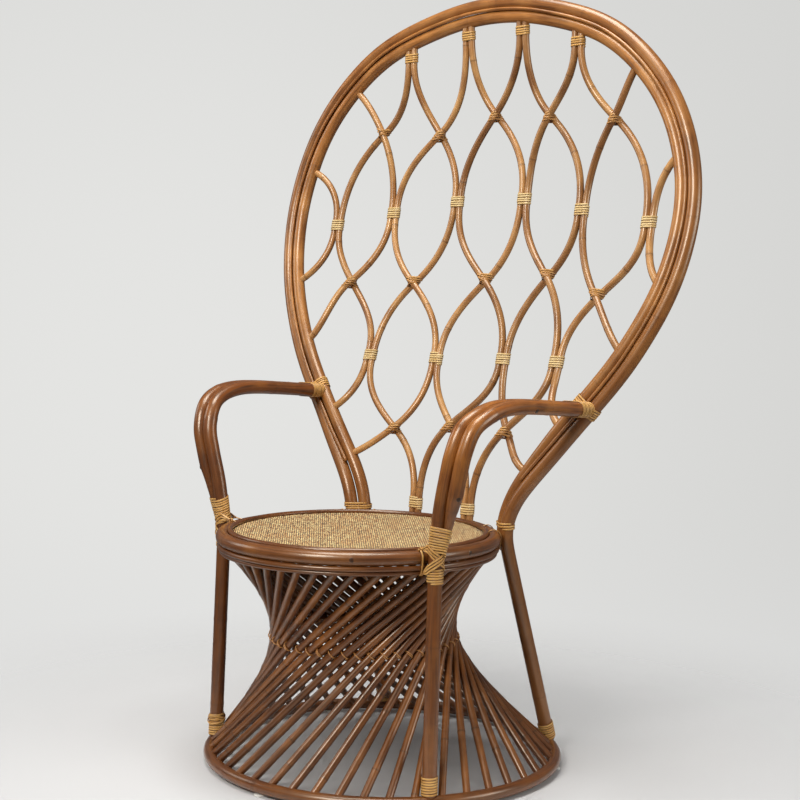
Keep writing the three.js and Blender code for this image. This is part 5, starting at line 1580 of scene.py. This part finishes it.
class RATTAN_OT_stage(bpy.types.Operator):
    """Set the floor, the light and the camera"""
    bl_idname = "rattan.stage"
    bl_label = "Studio"
    bl_options = {"REGISTER", "UNDO"}

    def execute(self, context):
        scene = context.scene
        scene.view_settings.view_transform = "Standard"
        self.floor(scene)
        self.backdrop(scene)
        self.lights(scene)
        self.camera(scene)
        return {"FINISHED"}

    @staticmethod
    def floor(scene):
        """A round floor: rings of quads, its finish fading into the backdrop's light far away."""
        share = np.linspace(0, 1, FLOOR_RINGS + 1)[1:] ** 2
        ring = np.append(round_section(FLOOR_SIDES), np.zeros((FLOOR_SIDES, 1)), axis=1)
        points = np.vstack([[[0, 0, 0]], (ring[None] * share[:, None, None] * FLOOR_RADIUS).reshape(-1, 3)])
        i, j = np.arange(FLOOR_RINGS - 1)[:, None], np.arange(FLOOR_SIDES)[None]
        k = (j + 1) % FLOOR_SIDES
        inner, outer = 1 + i * FLOOR_SIDES, 1 + (i + 1) * FLOOR_SIDES
        quads = np.stack([inner + j, outer + j, outer + k, inner + k], -1).reshape(-1, 4)
        tris = np.stack([0 * j, 1 + j, 1 + k], -1).reshape(-1, 3)
        mesh = bpy.data.meshes.new("studio_floor")
        mesh.from_pydata(points.tolist(), [], tris.tolist() + quads.tolist())
        mesh.update()
        # Matt painted floor, a touch lighter here and there
        material, tree, shader = new_finish("painted_studio_floor")
        place_of = add_node(tree, "ShaderNodeTexCoord", output="Object")
        patches = grains(tree, place_of, 0.5, detail=2)
        shade = add_node(tree, "ShaderNodeMix",
                         {0: patches, 6: linear("#d3d3d4"), 7: scene.rattan_colours.floor}, 2,
                         data_type="RGBA")
        feed(tree, shader, {"Base Color": shade, "Roughness": 0.7})
        far = add_node(tree, "ShaderNodeVectorMath", {0: place_of}, "Value", operation="LENGTH")
        fade = add_node(tree, "ShaderNodeMapRange", {0: far, 1: 0.34, 2: 1.5, 3: 0.0, 4: 1.0},
                        interpolation_type="SMOOTHSTEP")
        clear = add_node(tree, "ShaderNodeBsdfTransparent")
        both = add_node(tree, "ShaderNodeMixShader", {0: fade, 1: shader.outputs[0], 2: clear})
        feed(tree, tree.nodes["Material Output"], {"Surface": both})
        mesh.materials.append(material)
        floor = bpy.data.objects.new("studio_floor", mesh)
        scene.collection.objects.link(floor)

    @staticmethod
    def backdrop(scene):
        """A pale wall that the camera sees, and a fainter even light that the chair gets from it."""
        scene.world = bpy.data.worlds.new("studio_light")
        scene.world.use_nodes = True
        tree = scene.world.node_tree
        tree.nodes.clear()
        # Painted light on the backdrop: brightest behind the chair's right arm, falling off evenly round that
        # place
        way = add_node(tree, "ShaderNodeTexCoord", output="Generated")
        away = add_node(tree, "ShaderNodeVectorMath", {0: way, 1: BACKDROP_GLOW_MIDDLE}, "Value",
                        operation="DISTANCE")
        wall = laid_over(tree, linear("#e4e4e2"), linear("#d4d4d2"), away, 0.02, 0.52)
        # Low down, painted light stands for the lit floor that is seen there, a little brighter than the wall
        height = add_node(tree, "ShaderNodeSeparateXYZ", {0: way}, 2)
        wall = laid_over(tree, wall, linear("#e1e1e1"), height, -0.33, -0.12, 0.7, 0.0)
        seen = add_node(tree, "ShaderNodeBackground", {"Color": wall, "Strength": 1.0})
        fill = add_node(tree, "ShaderNodeBackground", {"Color": linear("#f4f4f2"), "Strength": 0.15})
        ray = add_node(tree, "ShaderNodeLightPath", output="Is Camera Ray")
        both = add_node(tree, "ShaderNodeMixShader", {0: ray, 1: fill, 2: seen})
        add_node(tree, "ShaderNodeOutputWorld", {"Surface": both}, is_active_output=True)

    @staticmethod
    def lights(scene):
        """Round soft lights above and around the chair."""
        for name, spot, target, size, power, colour in LIGHTS:
            lamp = bpy.data.lights.new(name, "AREA")
            lamp.shape = "DISK"
            lamp.size = size
            lamp.energy = power
            lamp.color = linear(colour)[:3]
            light = bpy.data.objects.new(name, lamp)
            scene.collection.objects.link(light)
            back = unit(np.array(spot) - np.array(target))
            right = unit(np.cross(UP, back))
            place_object(light, right, np.cross(back, right), back, spot)

    @staticmethod
    def camera(scene):
        """Stands to the chair's right front, a little below the middle, looking slightly down."""
        lens = bpy.data.cameras.new("studio_camera")
        lens.sensor_width = 36.0
        lens.lens = CAMERA_LENS
        lens.shift_x = CAMERA_SHIFT
        lens.clip_end = 60.0
        ahead = np.array([-math.sin(CAMERA_AZIMUTH) * math.cos(CAMERA_PITCH),
                          math.cos(CAMERA_AZIMUTH) * math.cos(CAMERA_PITCH), -math.sin(CAMERA_PITCH)])
        level = np.array([math.cos(CAMERA_AZIMUTH), math.sin(CAMERA_AZIMUTH), 0.0])
        upright = np.cross(level, ahead)
        right = level * math.cos(CAMERA_ROLL) + upright * math.sin(CAMERA_ROLL)
        up = upright * math.cos(CAMERA_ROLL) - level * math.sin(CAMERA_ROLL)
        camera = bpy.data.objects.new("studio_camera", lens)
        scene.collection.objects.link(camera)
        place_object(camera, right, up, -ahead, CAMERA_SPOT)
        scene.camera = camera


def place_object(target, x, y, z, spot):
    """Sets an object's three directions and its place."""
    rows = np.eye(4)
    rows[:3, 0], rows[:3, 1], rows[:3, 2], rows[:3, 3] = x, y, z, spot
    target.matrix_world = Matrix(rows.tolist())


PIECE_OPERATORS = (RATTAN_OT_stage, RATTAN_OT_base, RATTAN_OT_seat_hoops, RATTAN_OT_cage, RATTAN_OT_seat,
                   RATTAN_OT_back_hoop, RATTAN_OT_lattice, RATTAN_OT_bands, RATTAN_OT_ties, RATTAN_OT_arms,
                   RATTAN_OT_pegs, RATTAN_OT_pole_windings)


class RATTAN_PT_panel(bpy.types.Panel):
    """Lists the chair's sizes, colours and pieces"""
    bl_idname = "RATTAN_PT_panel"
    bl_label = "Rattan Chair"
    bl_space_type = "VIEW_3D"
    bl_region_type = "UI"
    bl_category = "Rattan Chair"

    def draw(self, context):
        for group in (context.scene.rattan_sizes, context.scene.rattan_colours):
            box = self.layout.box()
            for name in group.__annotations__:
                box.prop(group, name)
        for operator in PIECE_OPERATORS:
            self.layout.operator(operator.bl_idname)


CLASSES = (RattanSizes, RattanColours) + PIECE_OPERATORS + (RATTAN_PT_panel,)


def register():
    for cls in CLASSES:
        bpy.utils.register_class(cls)
    bpy.types.Scene.rattan_sizes = bpy.props.PointerProperty(type=RattanSizes)
    bpy.types.Scene.rattan_colours = bpy.props.PointerProperty(type=RattanColours)


def unregister():
    del bpy.types.Scene.rattan_colours
    del bpy.types.Scene.rattan_sizes
    for cls in reversed(CLASSES):
        bpy.utils.unregister_class(cls)


def main():
    register()
    bpy.ops.rattan.stage()
    bpy.ops.rattan.base()
    bpy.ops.rattan.seat_hoops()
    bpy.ops.rattan.cage()
    bpy.ops.rattan.seat()
    bpy.ops.rattan.back_hoop()
    bpy.ops.rattan.lattice()
    bpy.ops.rattan.bands()
    bpy.ops.rattan.ties()
    bpy.ops.rattan.arms()
    bpy.ops.rattan.pegs()
    bpy.ops.rattan.pole_windings()


if __name__ == "__main__":
    main()
